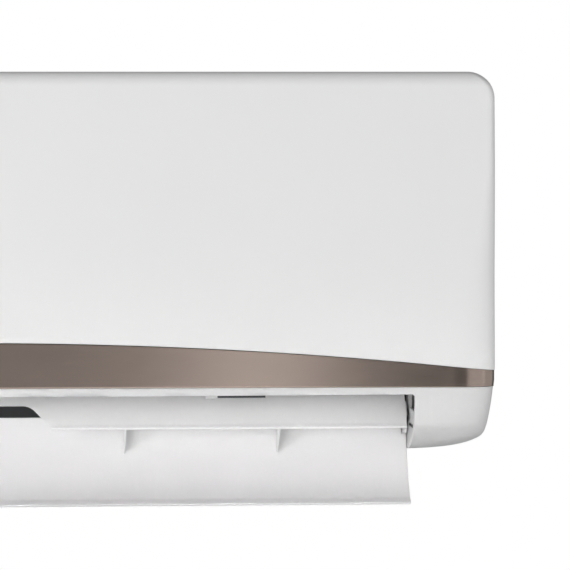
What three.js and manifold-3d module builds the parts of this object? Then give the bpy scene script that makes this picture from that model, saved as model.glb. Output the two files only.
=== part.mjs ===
// Mini split indoor unit: a wall-hung fan coil with its louver open.
// Millimetres, +Z up, +X to the right seen from the front. The front faces -Y and the wall is at y = 0.
// Inside this file a depth d is measured forward from the wall, so y = -d, and z = 0 is the body's
// underside.
import * as THREE from 'three';
import { mergeVertices } from 'three/addons/utils/BufferGeometryUtils.js';
import Module from 'manifold-3d';

const wasm = await Module();
wasm.setup();

// ---------------------------------------------------------------- driving dimensions
// Casing
const BODY_WIDTH = 855;
const BODY_HEIGHT = 289;
const BODY_DEPTH = 209;
const HALF_WIDTH = BODY_WIDTH / 2;
const MID_DEPTH = BODY_DEPTH / 2;
const TOP_CORNER_RADIUS = 21;
const SIDE_DRAFT = 1.2;
const BODY_BACK = 10;
const TOP_FRONT_DEPTH = BODY_DEPTH - 11;
const TOP_EDGE_RADIUS = 11;
const FRONT_BOW = 8;
const PLAN_CORNER_RADIUS = 13;
const CHIN_HEIGHT = 40;
const CHIN_REACH = 74;
const CHIN_POWER = 2.12;
const CAP_DROP = 12;
const SKIN = 2.4;
const CASE_STEP = 0.5;
const SEAT_GAP = 0.3;
const CORNER_FLARE_TOP = 43;
const CORNER_FLARE = 6;
const CORNER_TURN_RADIUS = 5.5;
const CORNER_RISE = -1.6;

// Panel and trim
const PANEL_THICKNESS = 2.3;
const PANEL_HINGE_DEPTH = BODY_DEPTH - 24;
const PANEL_HINGE_HEIGHT = BODY_HEIGHT - 6;
const PANEL_TOP_EDGE = BODY_DEPTH - 27.5;
const PANEL_SIDE_EDGE = BODY_DEPTH - 22.5;
const PANEL_SWEEP_GAP = 0.7;
const ARC_CENTRE_HEIGHT = 78.9;
const ARC_END_HEIGHT = 54.6;
const BAND_THICKNESS = 1.9;
const BAND_BOTTOM = 43;
const LIP_BOTTOM = 36.5;
const LIP_BACK = BODY_DEPTH - 9.4;
const HINGE_PIN_RADIUS = 1.6;
const HINGE_EAR_RADIUS = 3.3;
const HINGE_EAR_WIDTH = 4;
const HINGE_STATION = HALF_WIDTH - 93;
const PANEL_RIB_DEPTH = 3.5;
const PANEL_RIB_WIDTH = 1.6;
const PANEL_RIB_COUNT = 7;

// Air inlet
const INLET_HALF_WIDTH = HALF_WIDTH - 53;
const INLET_BACK = 26;
const INLET_FRONT = BODY_DEPTH - 43;
const INLET_RIM_DEPTH = 13;
const INLET_RIM_WALL = 2;
const INLET_LEDGE = 4;
const FILTER_HEIGHT = 7;
const FILTER_RAIL = 7;
const FILTER_BAR = 1.4;
const FILTER_COLUMNS = 7;
const FILTER_ROWS = 3;
const FILTER_TRAVEL = 60;
const GRILLE_HEIGHT = 3;
const GRILLE_BAR = 2;
const GRILLE_COLUMNS = 12;
const GRILLE_ROWS = 3;

// Front frame and air outlet
const FRAME_OPENING_HALF_WIDTH = HALF_WIDTH - 54;
const FRAME_OPENING_BOTTOM = 100;
const FRAME_OPENING_TOP = 268;
const OUTLET_HALF_WIDTH = HALF_WIDTH - 64.9;
const CAP_WALL = 2.2;
const CAP_WALL_TOP = 46;
const CAP_WALL_BACK = BODY_DEPTH - 74.4;

// Cross-flow fan
const FAN_DEPTH = BODY_DEPTH - 105;
const FAN_HEIGHT = 112;
const FAN_RADIUS = 46;
const FAN_HALF_LENGTH = OUTLET_HALF_WIDTH - 15.7;
const FAN_DISC = 2.4;
const FAN_BAYS = 4;
const FAN_BLADES = 18;
const BLADE_CHORD = 12;
const BLADE_CAMBER = 2.2;
const BLADE_THICKNESS = 1.3;
const BLADE_PITCH_ANGLE = 62;
const SHAFT_RADIUS = 4;
const HUB_RADIUS = 11;
const HUB_LENGTH = 9;
const SEAT_RADIUS = 16;

// Scroll and duct
const SCROLL_GAP = 5;
const SCROLL_START = 120;
const SCROLL_END = 235;
const SCROLL_GROWTH = 0.172;
const DUCT_LIP_DEPTH = BODY_DEPTH - 76;
const CHASSIS_SKIN = 2.2;
const CHASSIS_BACK = 8;
const CHASSIS_HALF_WIDTH = HALF_WIDTH - 7;
const RECESS_TOP = 62;
const RECESS_DEPTH = 44;
const SIDE_PLATE = 2.4;
const SIDE_PLATE_FRONT = BODY_DEPTH - 46;
const SIDE_PLATE_TOP = 158;

// Heat exchanger
const COIL_THICKNESS = 22;
const COIL_HALF_LENGTH = OUTLET_HALF_WIDTH - 11.7;
const COIL_PLATE = 1.2;
const FIN_COUNT = 17;
const FIN_GROOVE = 3;
const RETURN_BEND_RADIUS = 10;
const TUBE_RADIUS = 3.5;
const BENDS_PER_SLAB = 2;
const TRAY_HEIGHT = 166;
const DRAIN_DEPTH = BODY_DEPTH - 28;
const DRAIN_HEIGHT = 81.5;

// Refrigerant pipes
const PIPE_BAY_X = HALF_WIDTH - 33;
const PIPE_SADDLE_X = 240;
const PIPE_END_X = 150;
const GAS_PIPE_RADIUS = 4.8;
const LIQUID_PIPE_RADIUS = 3.2;
const GAS_RUN = { depth: 26, height: 24, column: PIPE_BAY_X + 6 };
const LIQUID_RUN = { depth: 26, height: 44, column: PIPE_BAY_X - 8 };

// Louver, in the side view: the closed chord and the turn that opens it
const LOUVER_PIVOT_DEPTH = BODY_DEPTH - 65.1;
const LOUVER_PIVOT_HEIGHT = 6.1;
const LOUVER_OPEN_ANGLE = 83.4;
const FLAP_REAR = { depth: BODY_DEPTH - 73.8, height: 1.3 };
const FLAP_FRONT = { depth: BODY_DEPTH - 3, height: 33.6 };
const FLAP_BULGE = 9.5;
const FLAP_THICKNESS = 2.4;
const FLAP_HALF_REAR = OUTLET_HALF_WIDTH - 0.7;
const FLAP_HALF_FRONT = OUTLET_HALF_WIDTH - 0.5;
const INNER_BLADE_REAR = { depth: BODY_DEPTH - 90.1, height: 15.9 };
const INNER_BLADE_FRONT = { depth: BODY_DEPTH - 63.9, height: 33.9 };
const INNER_BLADE_THICKNESS = 1.8;
const NOTCH_HALF_TOP = 62;
const NOTCH_HALF_BOTTOM = 80.5;
const NOTCH_DEPTH = 17.5;
const GUSSET_PITCH = 121.6;
const GUSSET_FIRST = 137;
const GUSSET_THICKNESS = 2;
const LOUVER_PIN_RADIUS = 2;
const PIN_CLEARANCE = 0.4;
const SUPPORT_THICKNESS = 5;
const SUPPORT_EYE = 4.2;
const SUPPORT_SIDE_GAP = 1;

// Vertical vanes
const FLOW_ANGLE = 40;
const VANE_FOOT_DEPTH = BODY_DEPTH - 109;
const VANE_FIRST = 48;
const VANE_COUNT = 5;
const VANE_PITCH = (OUTLET_HALF_WIDTH - 98.6) / (VANE_COUNT - 1);
const VANE_LENGTH = 26;
const VANE_HEIGHT = 38;
const VANE_THICKNESS = 1.6;
const VANE_PIN_RADIUS = 2.2;
const VANE_FOOT_GAP = 3;
const LINK_OFFSET = 9;
const LINK_HEIGHT = 21;
const LINK_SIZE = 3;
const LINK_TURN_GAP = 1.1;

// Motors and electrics
const MOTOR_RADIUS = 38;
const MOTOR_LENGTH = 40;
const MOTOR_START = OUTLET_HALF_WIDTH + 6.3;
const STEPPER_RADIUS = 11.5;
const STEPPER_LENGTH = 17;
const STEPPER_OFFSET = 10;
const BOX_LEFT = HALF_WIDTH - 48;
const BOX_RIGHT = HALF_WIDTH - 16;
const BOX_BACK = BODY_DEPTH - 59;
const BOX_FRONT = BODY_DEPTH - 24;
const BOX_BOTTOM = 62;
const BOX_TOP = 248;
const BOX_SKIN = 2;
const BUTTON_RADIUS = 3.6;
const BUTTON_X = HALF_WIDTH - 33;
const BUTTON_HEIGHT = 120;
const DISPLAY_X = HALF_WIDTH - 129;
const DISPLAY_Z = FRAME_OPENING_BOTTOM + 1;
const DISPLAY_BACK = BODY_DEPTH - 17.8;

// Wall plate
const PLATE_THICKNESS = 1.5;
const PLATE_HALF_WIDTH = 285;
const PLATE_BOTTOM = 70;
const PLATE_TOP = 268;

// ---------------------------------------------------------------- colours and finishes
const finish = (color, roughness, metalness = 0) => new THREE.MeshStandardMaterial({ color, roughness,
    metalness });
const MATERIALS = {
  shell: finish(0xe8e8e8, 0.32),
  innerPlastic: finish(0xd9dbdc, 0.5),
  bronze: finish(0x8c7f76, 0.34, 0.75),
  darkPlastic: finish(0x2e3032, 0.55),
  fin: finish(0xb9c6cc, 0.35, 0.8),
  copper: finish(0xb5704a, 0.35, 0.9),
  brass: finish(0xb99b57, 0.35, 0.9),
  steel: finish(0xb4b7b9, 0.4, 0.85),
  rubber: finish(0x26282a, 0.85),
  board: finish(0x2f6b46, 0.6),
  foam: finish(0xf2f2ef, 0.9),
};

// ---------------------------------------------------------------- solids
const DEG = Math.PI / 180;

function solidFrom(geometry) {
  const bare = new THREE.BufferGeometry();
  bare.setAttribute('position', geometry.attributes.position);
  if (geometry.index) bare.setIndex(geometry.index);
  const merged = mergeVertices(bare, 1e-4);
  const vertProperties = new Float32Array(merged.attributes.position.array);
  const triVerts = new Uint32Array(merged.index.array);
  return new wasm.Manifold(new wasm.Mesh({ numProp: 3, vertProperties, triVerts }));
}

function geometryFrom(solid) {
  const { vertProperties, triVerts } = solid.getMesh();
  const geometry = new THREE.BufferGeometry();
  geometry.setAttribute('position', new THREE.BufferAttribute(new Float32Array(vertProperties), 3));
  geometry.setIndex(new THREE.BufferAttribute(new Uint32Array(triVerts), 1));
  geometry.computeVertexNormals();
  return geometry;
}

const toPoints = (pairs) => pairs.map(([a, b]) => new THREE.Vector2(a, b));

function extrude(points, depth) {
  return new THREE.ExtrudeGeometry(new THREE.Shape(points), { depth, bevelEnabled: false, steps: 1 });
}

// A side-view outline of (depth, height) points, run along X.
function alongX(outline, x0, x1) {
  const points = outline.map(([d, z]) => new THREE.Vector2(-d, z));
  const turn = new THREE.Matrix4().makeBasis(
    new THREE.Vector3(0, 1, 0), new THREE.Vector3(0, 0, 1), new THREE.Vector3(1, 0, 0));
  return solidFrom(extrude(points, x1 - x0).applyMatrix4(turn).translate(x0, 0, 0));
}

// A front-view outline of (x, height) points, run from depth d0 forward to d1.
function alongDepth(outline, d0, d1) {
  const turn = new THREE.Matrix4().makeBasis(
    new THREE.Vector3(1, 0, 0), new THREE.Vector3(0, 0, 1), new THREE.Vector3(0, -1, 0));
  return solidFrom(extrude(toPoints(outline), d1 - d0).applyMatrix4(turn).translate(0, -d0, 0));
}

// A plan outline of (x, depth) points, run from height z0 to z1.
function alongHeight(outline, z0, z1) {
  const points = outline.map(([x, d]) => new THREE.Vector2(x, -d));
  return solidFrom(extrude(points, z1 - z0).translate(0, 0, z0));
}

function block(x0, x1, d0, d1, z0, z1) {
  const geometry = new THREE.BoxGeometry(x1 - x0, d1 - d0, z1 - z0);
  return solidFrom(geometry.translate((x0 + x1) / 2, -(d0 + d1) / 2, (z0 + z1) / 2));
}

// A flat grid of open cells in plan, run from height z0 to z1: a frame crossed by bars.
function lattice({ x0, x1, d0, d1, rail, bar, columns, rows }, z0, z1) {
  const step = 0.4;
  const frame = block(x0, x1, d0, d1, z0, z1)
    .subtract(block(x0 + rail, x1 - rail, d0 + rail, d1 - rail, z0 - 1, z1 + 1));
  const bars = [];
  for (let i = 1; i < columns; i += 1) {
    const x = x0 + ((x1 - x0) * i) / columns;
    bars.push(block(x - bar / 2, x + bar / 2, d0 + rail / 2, d1 - rail / 2, z0 + step, z1 - step));
  }
  for (let i = 1; i < rows; i += 1) {
    const d = d0 + ((d1 - d0) * i) / rows;
    bars.push(block(x0 + rail / 2, x1 - rail / 2, d - bar / 2, d + bar / 2, z0 + 2 * step, z1 - 2 * step));
  }
  return joined([frame, ...bars]);
}

function rodX(radius, x0, x1, d, z, sides = 16) {
  const geometry = new THREE.CylinderGeometry(radius, radius, x1 - x0, sides).rotateZ(Math.PI / 2);
  return solidFrom(geometry.translate((x0 + x1) / 2, -d, z));
}

function rodDepth(radius, d0, d1, x, z, sides = 16) {
  const geometry = new THREE.CylinderGeometry(radius, radius, d1 - d0, sides);
  return solidFrom(geometry.translate(x, -(d0 + d1) / 2, z));
}

const joined = (solids) => solids.reduce((sum, next) => sum.add(next));
const without = (solid, cutters) => cutters.reduce((rest, next) => rest.subtract(next), solid);
const mirrored = (solid) => solid.mirror([1, 0, 0]);
const bothSides = (make) => joined([make(), mirrored(make())]);

function arcPoints(cx, cy, radius, fromDeg, toDeg, steps) {
  return Array.from({ length: steps + 1 }, (_, i) => {
    const angle = (fromDeg + ((toDeg - fromDeg) * i) / steps) * DEG;
    return [cx + radius * Math.cos(angle), cy + radius * Math.sin(angle)];
  });
}

// Moves each edge of a closed outline inward by the distance and meets it with its neighbours.
function inset(outline, distance) {
  if (distance === 0) return outline;
  const turnsLeft = THREE.ShapeUtils.area(toPoints(outline)) > 0;
  const side = turnsLeft ? 1 : -1;
  const count = outline.length;
  const edges = outline.map(([ax, ay], i) => {
    const [bx, by] = outline[(i + 1) % count];
    const length = Math.hypot(bx - ax, by - ay);
    const ux = (bx - ax) / length;
    const uy = (by - ay) / length;
    return { x: ax - side * uy * distance, y: ay + side * ux * distance, ux, uy };
  });
  return outline.map((_, i) => {
    const first = edges[(i + count - 1) % count];
    const second = edges[i];
    const cross = first.ux * second.uy - first.uy * second.ux;
    if (Math.abs(cross) < 1e-6) return [second.x, second.y];
    const along = ((second.x - first.x) * second.uy - (second.y - first.y) * second.ux) / cross;
    return [first.x + first.ux * along, first.y + first.uy * along];
  });
}

// ---------------------------------------------------------------- the casing's envelope

// Side view: rear, top, rounded top edge, leaning front and the chin that curls under to the outlet.
function sideOutline() {
  const topEdge = arcPoints(
    TOP_FRONT_DEPTH - TOP_EDGE_RADIUS, BODY_HEIGHT - TOP_EDGE_RADIUS, TOP_EDGE_RADIUS, 90, 8, 4);
  const chinCentre = BODY_DEPTH - CHIN_REACH;
  const chinSteps = 6;
  const chin = Array.from({ length: chinSteps + 1 }, (_, i) => {
    const angle = (i / chinSteps) * 90 * DEG;
    const reach = Math.cos(angle) ** (2 / CHIN_POWER);
    const drop = Math.sin(angle) ** (2 / CHIN_POWER);
    return [chinCentre + CHIN_REACH * reach, CHIN_HEIGHT - (CHIN_HEIGHT + CAP_DROP) * drop];
  });
  const middle = [BODY_DEPTH - 3.2, BODY_HEIGHT * 0.52];
  return [[BODY_BACK, 4], [BODY_BACK, BODY_HEIGHT - 4], [BODY_BACK + 4, BODY_HEIGHT],
    ...topEdge, middle, [BODY_DEPTH - 0.4, BODY_HEIGHT * 0.27], ...chin, [BODY_BACK + 20, -CAP_DROP]];
}

// Front view: straight top, round upper corners, sides with a little draft, flared lower corners.
function frontOutline() {
  const topX = HALF_WIDTH - SIDE_DRAFT;
  const path = new THREE.Path();
  const turnX = HALF_WIDTH - CORNER_FLARE;
  path.moveTo(OUTLET_HALF_WIDTH - 2, -CAP_DROP);
  path.quadraticCurveTo(
    turnX - CORNER_TURN_RADIUS * 3.6, 0.4 - CAP_DROP, turnX - CORNER_TURN_RADIUS, CORNER_RISE);
  path.quadraticCurveTo(turnX - 1, CORNER_RISE + 2.2, turnX, CORNER_RISE + CORNER_TURN_RADIUS * 1.4);
  path.quadraticCurveTo(HALF_WIDTH - 2, CORNER_FLARE_TOP * 0.6, HALF_WIDTH, CORNER_FLARE_TOP + 4);
  const lower = path.getPoints(3).map((point) => [point.x, point.y]);
  const corner = arcPoints(
    topX - TOP_CORNER_RADIUS, BODY_HEIGHT - TOP_CORNER_RADIUS, TOP_CORNER_RADIUS, 0, 90, 6);
  const right = [...lower, ...corner];
  return [...right, ...right.map(([x, z]) => [-x, z]).reverse()];
}

// Plan: a gentle bow across the front with rounded ends.
function planOutline() {
  const bowAt = (x) => BODY_DEPTH - FRONT_BOW * (x / HALF_WIDTH) ** 2;
  const bowEnd = HALF_WIDTH - PLAN_CORNER_RADIUS;
  const bowSteps = 5;
  const bow = Array.from({ length: bowSteps }, (_, i) => {
    const x = (bowEnd * i) / bowSteps;
    return [x, bowAt(x)];
  });
  const corner = arcPoints(bowEnd, bowAt(bowEnd) - PLAN_CORNER_RADIUS, PLAN_CORNER_RADIUS, 90, 0, 4);
  const right = [...bow, ...corner, [HALF_WIDTH, 0]];
  return [...right, ...right.slice(1).map(([x, d]) => [-x, d]).reverse()];
}

// The casing's outer form drawn in by a distance all round.
function envelope(distance) {
  const side = alongX(inset(sideOutline(), distance), -HALF_WIDTH - 1, HALF_WIDTH + 1);
  const front = alongDepth(inset(frontOutline(), distance), -1, BODY_DEPTH + 1);
  const plan = alongHeight(inset(planOutline(), distance), -CAP_DROP - 1, BODY_HEIGHT + 1);
  return side.intersect(front).intersect(plan);
}

// The space below the panel's lower edge, which sweeps up in an arc to the middle.
function belowArc(lift) {
  const steps = 14;
  const rise = ARC_CENTRE_HEIGHT - ARC_END_HEIGHT;
  const radius = (HALF_WIDTH ** 2 + rise ** 2) / (2 * rise);
  const arc = Array.from({ length: steps + 1 }, (_, i) => {
    const x = -HALF_WIDTH - 2 + ((BODY_WIDTH + 4) * i) / steps;
    return [x, ARC_CENTRE_HEIGHT + lift - radius + Math.sqrt(radius ** 2 - x ** 2)];
  });
  const under = -CAP_DROP - 5;
  return alongDepth([[HALF_WIDTH + 2, under], [-HALF_WIDTH - 2, under], ...arc].reverse(), -5,
      BODY_DEPTH + 5);
}

// ---------------------------------------------------------------- panel, trim and front case
const caseOuter = CASE_STEP;
const caseInner = CASE_STEP + SKIN;
const frameOuter = Math.max(CASE_STEP + BAND_THICKNESS, PANEL_THICKNESS) + SEAT_GAP;
const frameInner = frameOuter + SKIN;

function frontPanel() {
  const wide = HALF_WIDTH + 2;
  const shell = envelope(0).subtract(envelope(PANEL_THICKNESS));
  const keep = joined([
    block(-wide, wide, PANEL_SIDE_EDGE, BODY_DEPTH + 1, 0, BODY_HEIGHT + 1),
    block(-wide, wide, PANEL_TOP_EDGE, BODY_DEPTH + 1, BODY_HEIGHT - PANEL_THICKNESS - 0.2,
        BODY_HEIGHT + 1)]);
  const skin = shell.intersect(keep).subtract(belowArc(0));
  const inside = envelope(PANEL_THICKNESS - 0.3);
  const ribs = [];
  for (let i = 0; i < PANEL_RIB_COUNT; i += 1) {
    const x = (i - (PANEL_RIB_COUNT - 1) / 2) * (2 * (FRAME_OPENING_HALF_WIDTH - 30) / (PANEL_RIB_COUNT - 1));
    ribs.push(block(x - PANEL_RIB_WIDTH / 2, x + PANEL_RIB_WIDTH / 2, MID_DEPTH, BODY_DEPTH,
      FRAME_OPENING_BOTTOM + 24, FRAME_OPENING_TOP - 10));
  }
  const ribZone = envelope(PANEL_THICKNESS + PANEL_RIB_DEPTH);
  const ribSolid = joined(ribs).intersect(inside).subtract(ribZone);
  const arms = bothSides(() => {
    const plate = block(HINGE_STATION - HINGE_EAR_WIDTH / 2, HINGE_STATION + HINGE_EAR_WIDTH / 2,
      PANEL_HINGE_DEPTH, BODY_DEPTH, PANEL_HINGE_HEIGHT - HINGE_EAR_RADIUS, PANEL_HINGE_HEIGHT + 1);
    const eye = rodX(HINGE_EAR_RADIUS, HINGE_STATION - HINGE_EAR_WIDTH / 2,
      HINGE_STATION + HINGE_EAR_WIDTH / 2, PANEL_HINGE_DEPTH, PANEL_HINGE_HEIGHT);
    const pin = rodX(HINGE_PIN_RADIUS, HINGE_STATION - HINGE_EAR_WIDTH * 1.8,
      HINGE_STATION + HINGE_EAR_WIDTH * 1.8, PANEL_HINGE_DEPTH, PANEL_HINGE_HEIGHT);
    return joined([plate.intersect(envelope(PANEL_THICKNESS - 0.3)), eye, pin]);
  });
  return joined([skin, ribSolid, arms]);
}

function trimBand() {
  const wide = HALF_WIDTH + 2;
  const shell = envelope(CASE_STEP).subtract(envelope(CASE_STEP + BAND_THICKNESS));
  const zone = block(-wide, wide, PANEL_SIDE_EDGE, BODY_DEPTH + 1, BAND_BOTTOM, ARC_CENTRE_HEIGHT + 5);
  return shell.intersect(zone).intersect(belowArc(-SEAT_GAP));
}

const hingeStop = Math.hypot(PANEL_HINGE_DEPTH - PANEL_TOP_EDGE, BODY_HEIGHT - PANEL_HINGE_HEIGHT);
const caseTopFront = PANEL_HINGE_DEPTH - hingeStop - PANEL_SWEEP_GAP;

function frontCase() {
  const wide = HALF_WIDTH + 2;
  const outer = envelope(caseOuter);
  const inner = envelope(caseInner);
  const under = -CAP_DROP - 2;
  const innerOpen = inner.add(alongDepth(inset(frontOutline(), caseInner), -1, BODY_BACK + 4)
    .intersect(block(-wide, wide, -1, BODY_BACK + 4, under, BODY_HEIGHT + 1)));
  const visible = outer.subtract(innerOpen)
    .subtract(block(-wide, wide, -2, BODY_BACK + 2, under, BODY_HEIGHT + 2));
  const panelZone = joined([
    block(-wide, wide, PANEL_SIDE_EDGE - SEAT_GAP, BODY_DEPTH + 1, BAND_BOTTOM - SEAT_GAP, BODY_HEIGHT + 1),
    block(-wide, wide, caseTopFront, BODY_DEPTH + 1, PANEL_HINGE_HEIGHT - hingeStop, BODY_HEIGHT + 1)]);
  const outletCut = block(-OUTLET_HALF_WIDTH, OUTLET_HALF_WIDTH, -2, BODY_DEPTH + 1, under, LIP_BOTTOM);
  const undersideCut = block(-wide, wide, -2, CAP_WALL_BACK, under, 8);
  const inletCut = block(-INLET_HALF_WIDTH, INLET_HALF_WIDTH, INLET_BACK, INLET_FRONT,
    BODY_HEIGHT - 20, BODY_HEIGHT + 1);
  const skin = without(visible, [panelZone, outletCut, undersideCut, inletCut]);
  // Frame behind the panel and the band, with the opening in front of the coil.
  const frameSkin = envelope(frameOuter).subtract(envelope(frameInner));
  const frameZone = block(-wide, wide, PANEL_SIDE_EDGE - 10, BODY_DEPTH, LIP_BOTTOM,
      PANEL_HINGE_HEIGHT - 12);
  const frameOpening = block(-FRAME_OPENING_HALF_WIDTH, FRAME_OPENING_HALF_WIDTH, MID_DEPTH, BODY_DEPTH + 1,
    FRAME_OPENING_BOTTOM, BODY_HEIGHT);
  const frame = frameSkin.intersect(frameZone).subtract(frameOpening);
  const sideJoin = bothSides(() => outer.subtract(envelope(frameInner))
    .intersect(block(OUTLET_HALF_WIDTH, wide, PANEL_SIDE_EDGE - 9, PANEL_SIDE_EDGE - SEAT_GAP,
      BAND_BOTTOM - 1, PANEL_HINGE_HEIGHT - 13)));
  const lip = outer.intersect(
    block(-OUTLET_HALF_WIDTH - 1, OUTLET_HALF_WIDTH + 1, LIP_BACK, BODY_DEPTH, LIP_BOTTOM,
        BAND_BOTTOM - SEAT_GAP));
  const capShelf = bothSides(() => outer.subtract(envelope(frameInner))
    .intersect(block(OUTLET_HALF_WIDTH + 0.5, wide, PANEL_SIDE_EDGE - 8, BODY_DEPTH,
      BAND_BOTTOM - SEAT_GAP - SKIN, BAND_BOTTOM - SEAT_GAP)));
  const capWall = bothSides(() => outer
    .intersect(block(OUTLET_HALF_WIDTH, OUTLET_HALF_WIDTH + CAP_WALL, CAP_WALL_BACK, BODY_DEPTH, under,
        CAP_WALL_TOP))
    .intersect(envelope(CASE_STEP + 0.4).add(block(-wide, wide, MID_DEPTH, BODY_DEPTH - 9, under, 30)))
    .subtract(panelZone));
  const capBack = bothSides(() => envelope(CASE_STEP + 0.4).intersect(
    block(OUTLET_HALF_WIDTH + 0.4, wide, CAP_WALL_BACK + 0.4, CAP_WALL_BACK + SKIN, under, 3)));
  const rim = block(-INLET_HALF_WIDTH - INLET_RIM_WALL, INLET_HALF_WIDTH + INLET_RIM_WALL,
    INLET_BACK - INLET_RIM_WALL, INLET_FRONT + INLET_RIM_WALL, BODY_HEIGHT - INLET_RIM_DEPTH,
        BODY_HEIGHT - 1)
    .subtract(inletCut);
  // Ledge inside the inlet that the filters rest on.
  const ledgeTop = BODY_HEIGHT - CASE_STEP - 0.2 - FILTER_HEIGHT - SEAT_GAP;
  const ledge = block(-INLET_HALF_WIDTH - 1, INLET_HALF_WIDTH + 1, INLET_BACK - 1, INLET_FRONT + 1,
    ledgeTop - 2.5, ledgeTop).subtract(block(-INLET_HALF_WIDTH + INLET_LEDGE, INLET_HALF_WIDTH - INLET_LEDGE,
    INLET_BACK + INLET_LEDGE, INLET_FRONT - INLET_LEDGE, ledgeTop - 3, ledgeTop + 1));
  // Sockets that carry the panel's hinge pins.
  const ears = bothSides(() => {
    const make = (x0) => {
      const round = rodX(HINGE_EAR_RADIUS, x0, x0 + HINGE_EAR_WIDTH, PANEL_HINGE_DEPTH, PANEL_HINGE_HEIGHT);
      const under = PANEL_HINGE_HEIGHT - HINGE_EAR_RADIUS;
      const stem = alongX([
        [INLET_FRONT + 1, under - 5], [PANEL_HINGE_DEPTH + 2, under - 5], [PANEL_HINGE_DEPTH + 2, under + 1],
        [PANEL_HINGE_DEPTH - 1.5, under + 1], [PANEL_HINGE_DEPTH - 3.5, under - 0.3],
        [INLET_FRONT + 1, under - 0.3]], x0, x0 + HINGE_EAR_WIDTH);
      return round.add(stem);
    };
    const pair = make(HINGE_STATION + HINGE_EAR_WIDTH / 2 + SEAT_GAP)
      .add(make(HINGE_STATION - HINGE_EAR_WIDTH * 1.5 - SEAT_GAP));
    const eyeHole = rodX(HINGE_PIN_RADIUS + PIN_CLEARANCE, HINGE_STATION - 20, HINGE_STATION + 20,
      PANEL_HINGE_DEPTH, PANEL_HINGE_HEIGHT);
    return pair.subtract(eyeHole);
  });
  const pinHoles = bothSides(() => rodX(LOUVER_PIN_RADIUS + PIN_CLEARANCE, OUTLET_HALF_WIDTH - 3,
    OUTLET_HALF_WIDTH + CAP_WALL + 3, LOUVER_PIVOT_DEPTH, LOUVER_PIVOT_HEIGHT));
  const buttonHole = rodDepth(BUTTON_RADIUS + PIN_CLEARANCE, BODY_DEPTH - 29, BODY_DEPTH, BUTTON_X,
      BUTTON_HEIGHT);
  return without(joined([skin, frame, sideJoin, lip, capShelf, capWall, capBack, rim, ledge, ears]),
      [pinHoles, buttonHole]);
}

function auxButton() {
  const face = envelope(frameOuter);
  return rodDepth(BUTTON_RADIUS, BODY_DEPTH - 21, BODY_DEPTH, BUTTON_X, BUTTON_HEIGHT).intersect(face);
}

// ---------------------------------------------------------------- inlet grille and filters
function topGrille() {
  const half = INLET_HALF_WIDTH + INLET_RIM_WALL;
  const top = BODY_HEIGHT - INLET_RIM_DEPTH - SEAT_GAP;
  return lattice({
    x0: -half, x1: half, d0: INLET_BACK - INLET_RIM_WALL, d1: INLET_FRONT + INLET_RIM_WALL - 1.4,
    rail: 5, bar: GRILLE_BAR, columns: GRILLE_COLUMNS, rows: GRILLE_ROWS }, top - GRILLE_HEIGHT, top);
}

function filterCassette(side) {
  const inner = 1.2;
  const outer = INLET_HALF_WIDTH - 1;
  const area = {
    x0: side > 0 ? inner : -outer, x1: side > 0 ? outer : -inner, d0: INLET_BACK + 1, d1: INLET_FRONT - 1,
    rail: FILTER_RAIL, bar: FILTER_BAR, columns: FILTER_COLUMNS, rows: FILTER_ROWS };
  const top = BODY_HEIGHT - CASE_STEP - 0.2;
  const grid = lattice(area, top - FILTER_HEIGHT, top);
  const middle = (area.x0 + area.x1) / 2;
  const tabFront = area.d1 - FILTER_RAIL + 1;
  const fingerTab = block(middle - 20, middle + 20, tabFront - 12, tabFront, top - 4, top - 0.5);
  return grid.add(fingerTab);
}

// ---------------------------------------------------------------- rear chassis with the fan scroll
function scrollPoints(offset) {
  const steps = 9;
  return Array.from({ length: steps + 1 }, (_, i) => {
    const angle = SCROLL_START + ((SCROLL_END - SCROLL_START) * i) / steps;
    const radius = (FAN_RADIUS + SCROLL_GAP) * Math.exp(SCROLL_GROWTH * (angle - SCROLL_START) * DEG) + offset;
    return [FAN_DEPTH + radius * Math.cos(angle * DEG), FAN_HEIGHT + radius * Math.sin(angle * DEG)];
  });
}


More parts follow.
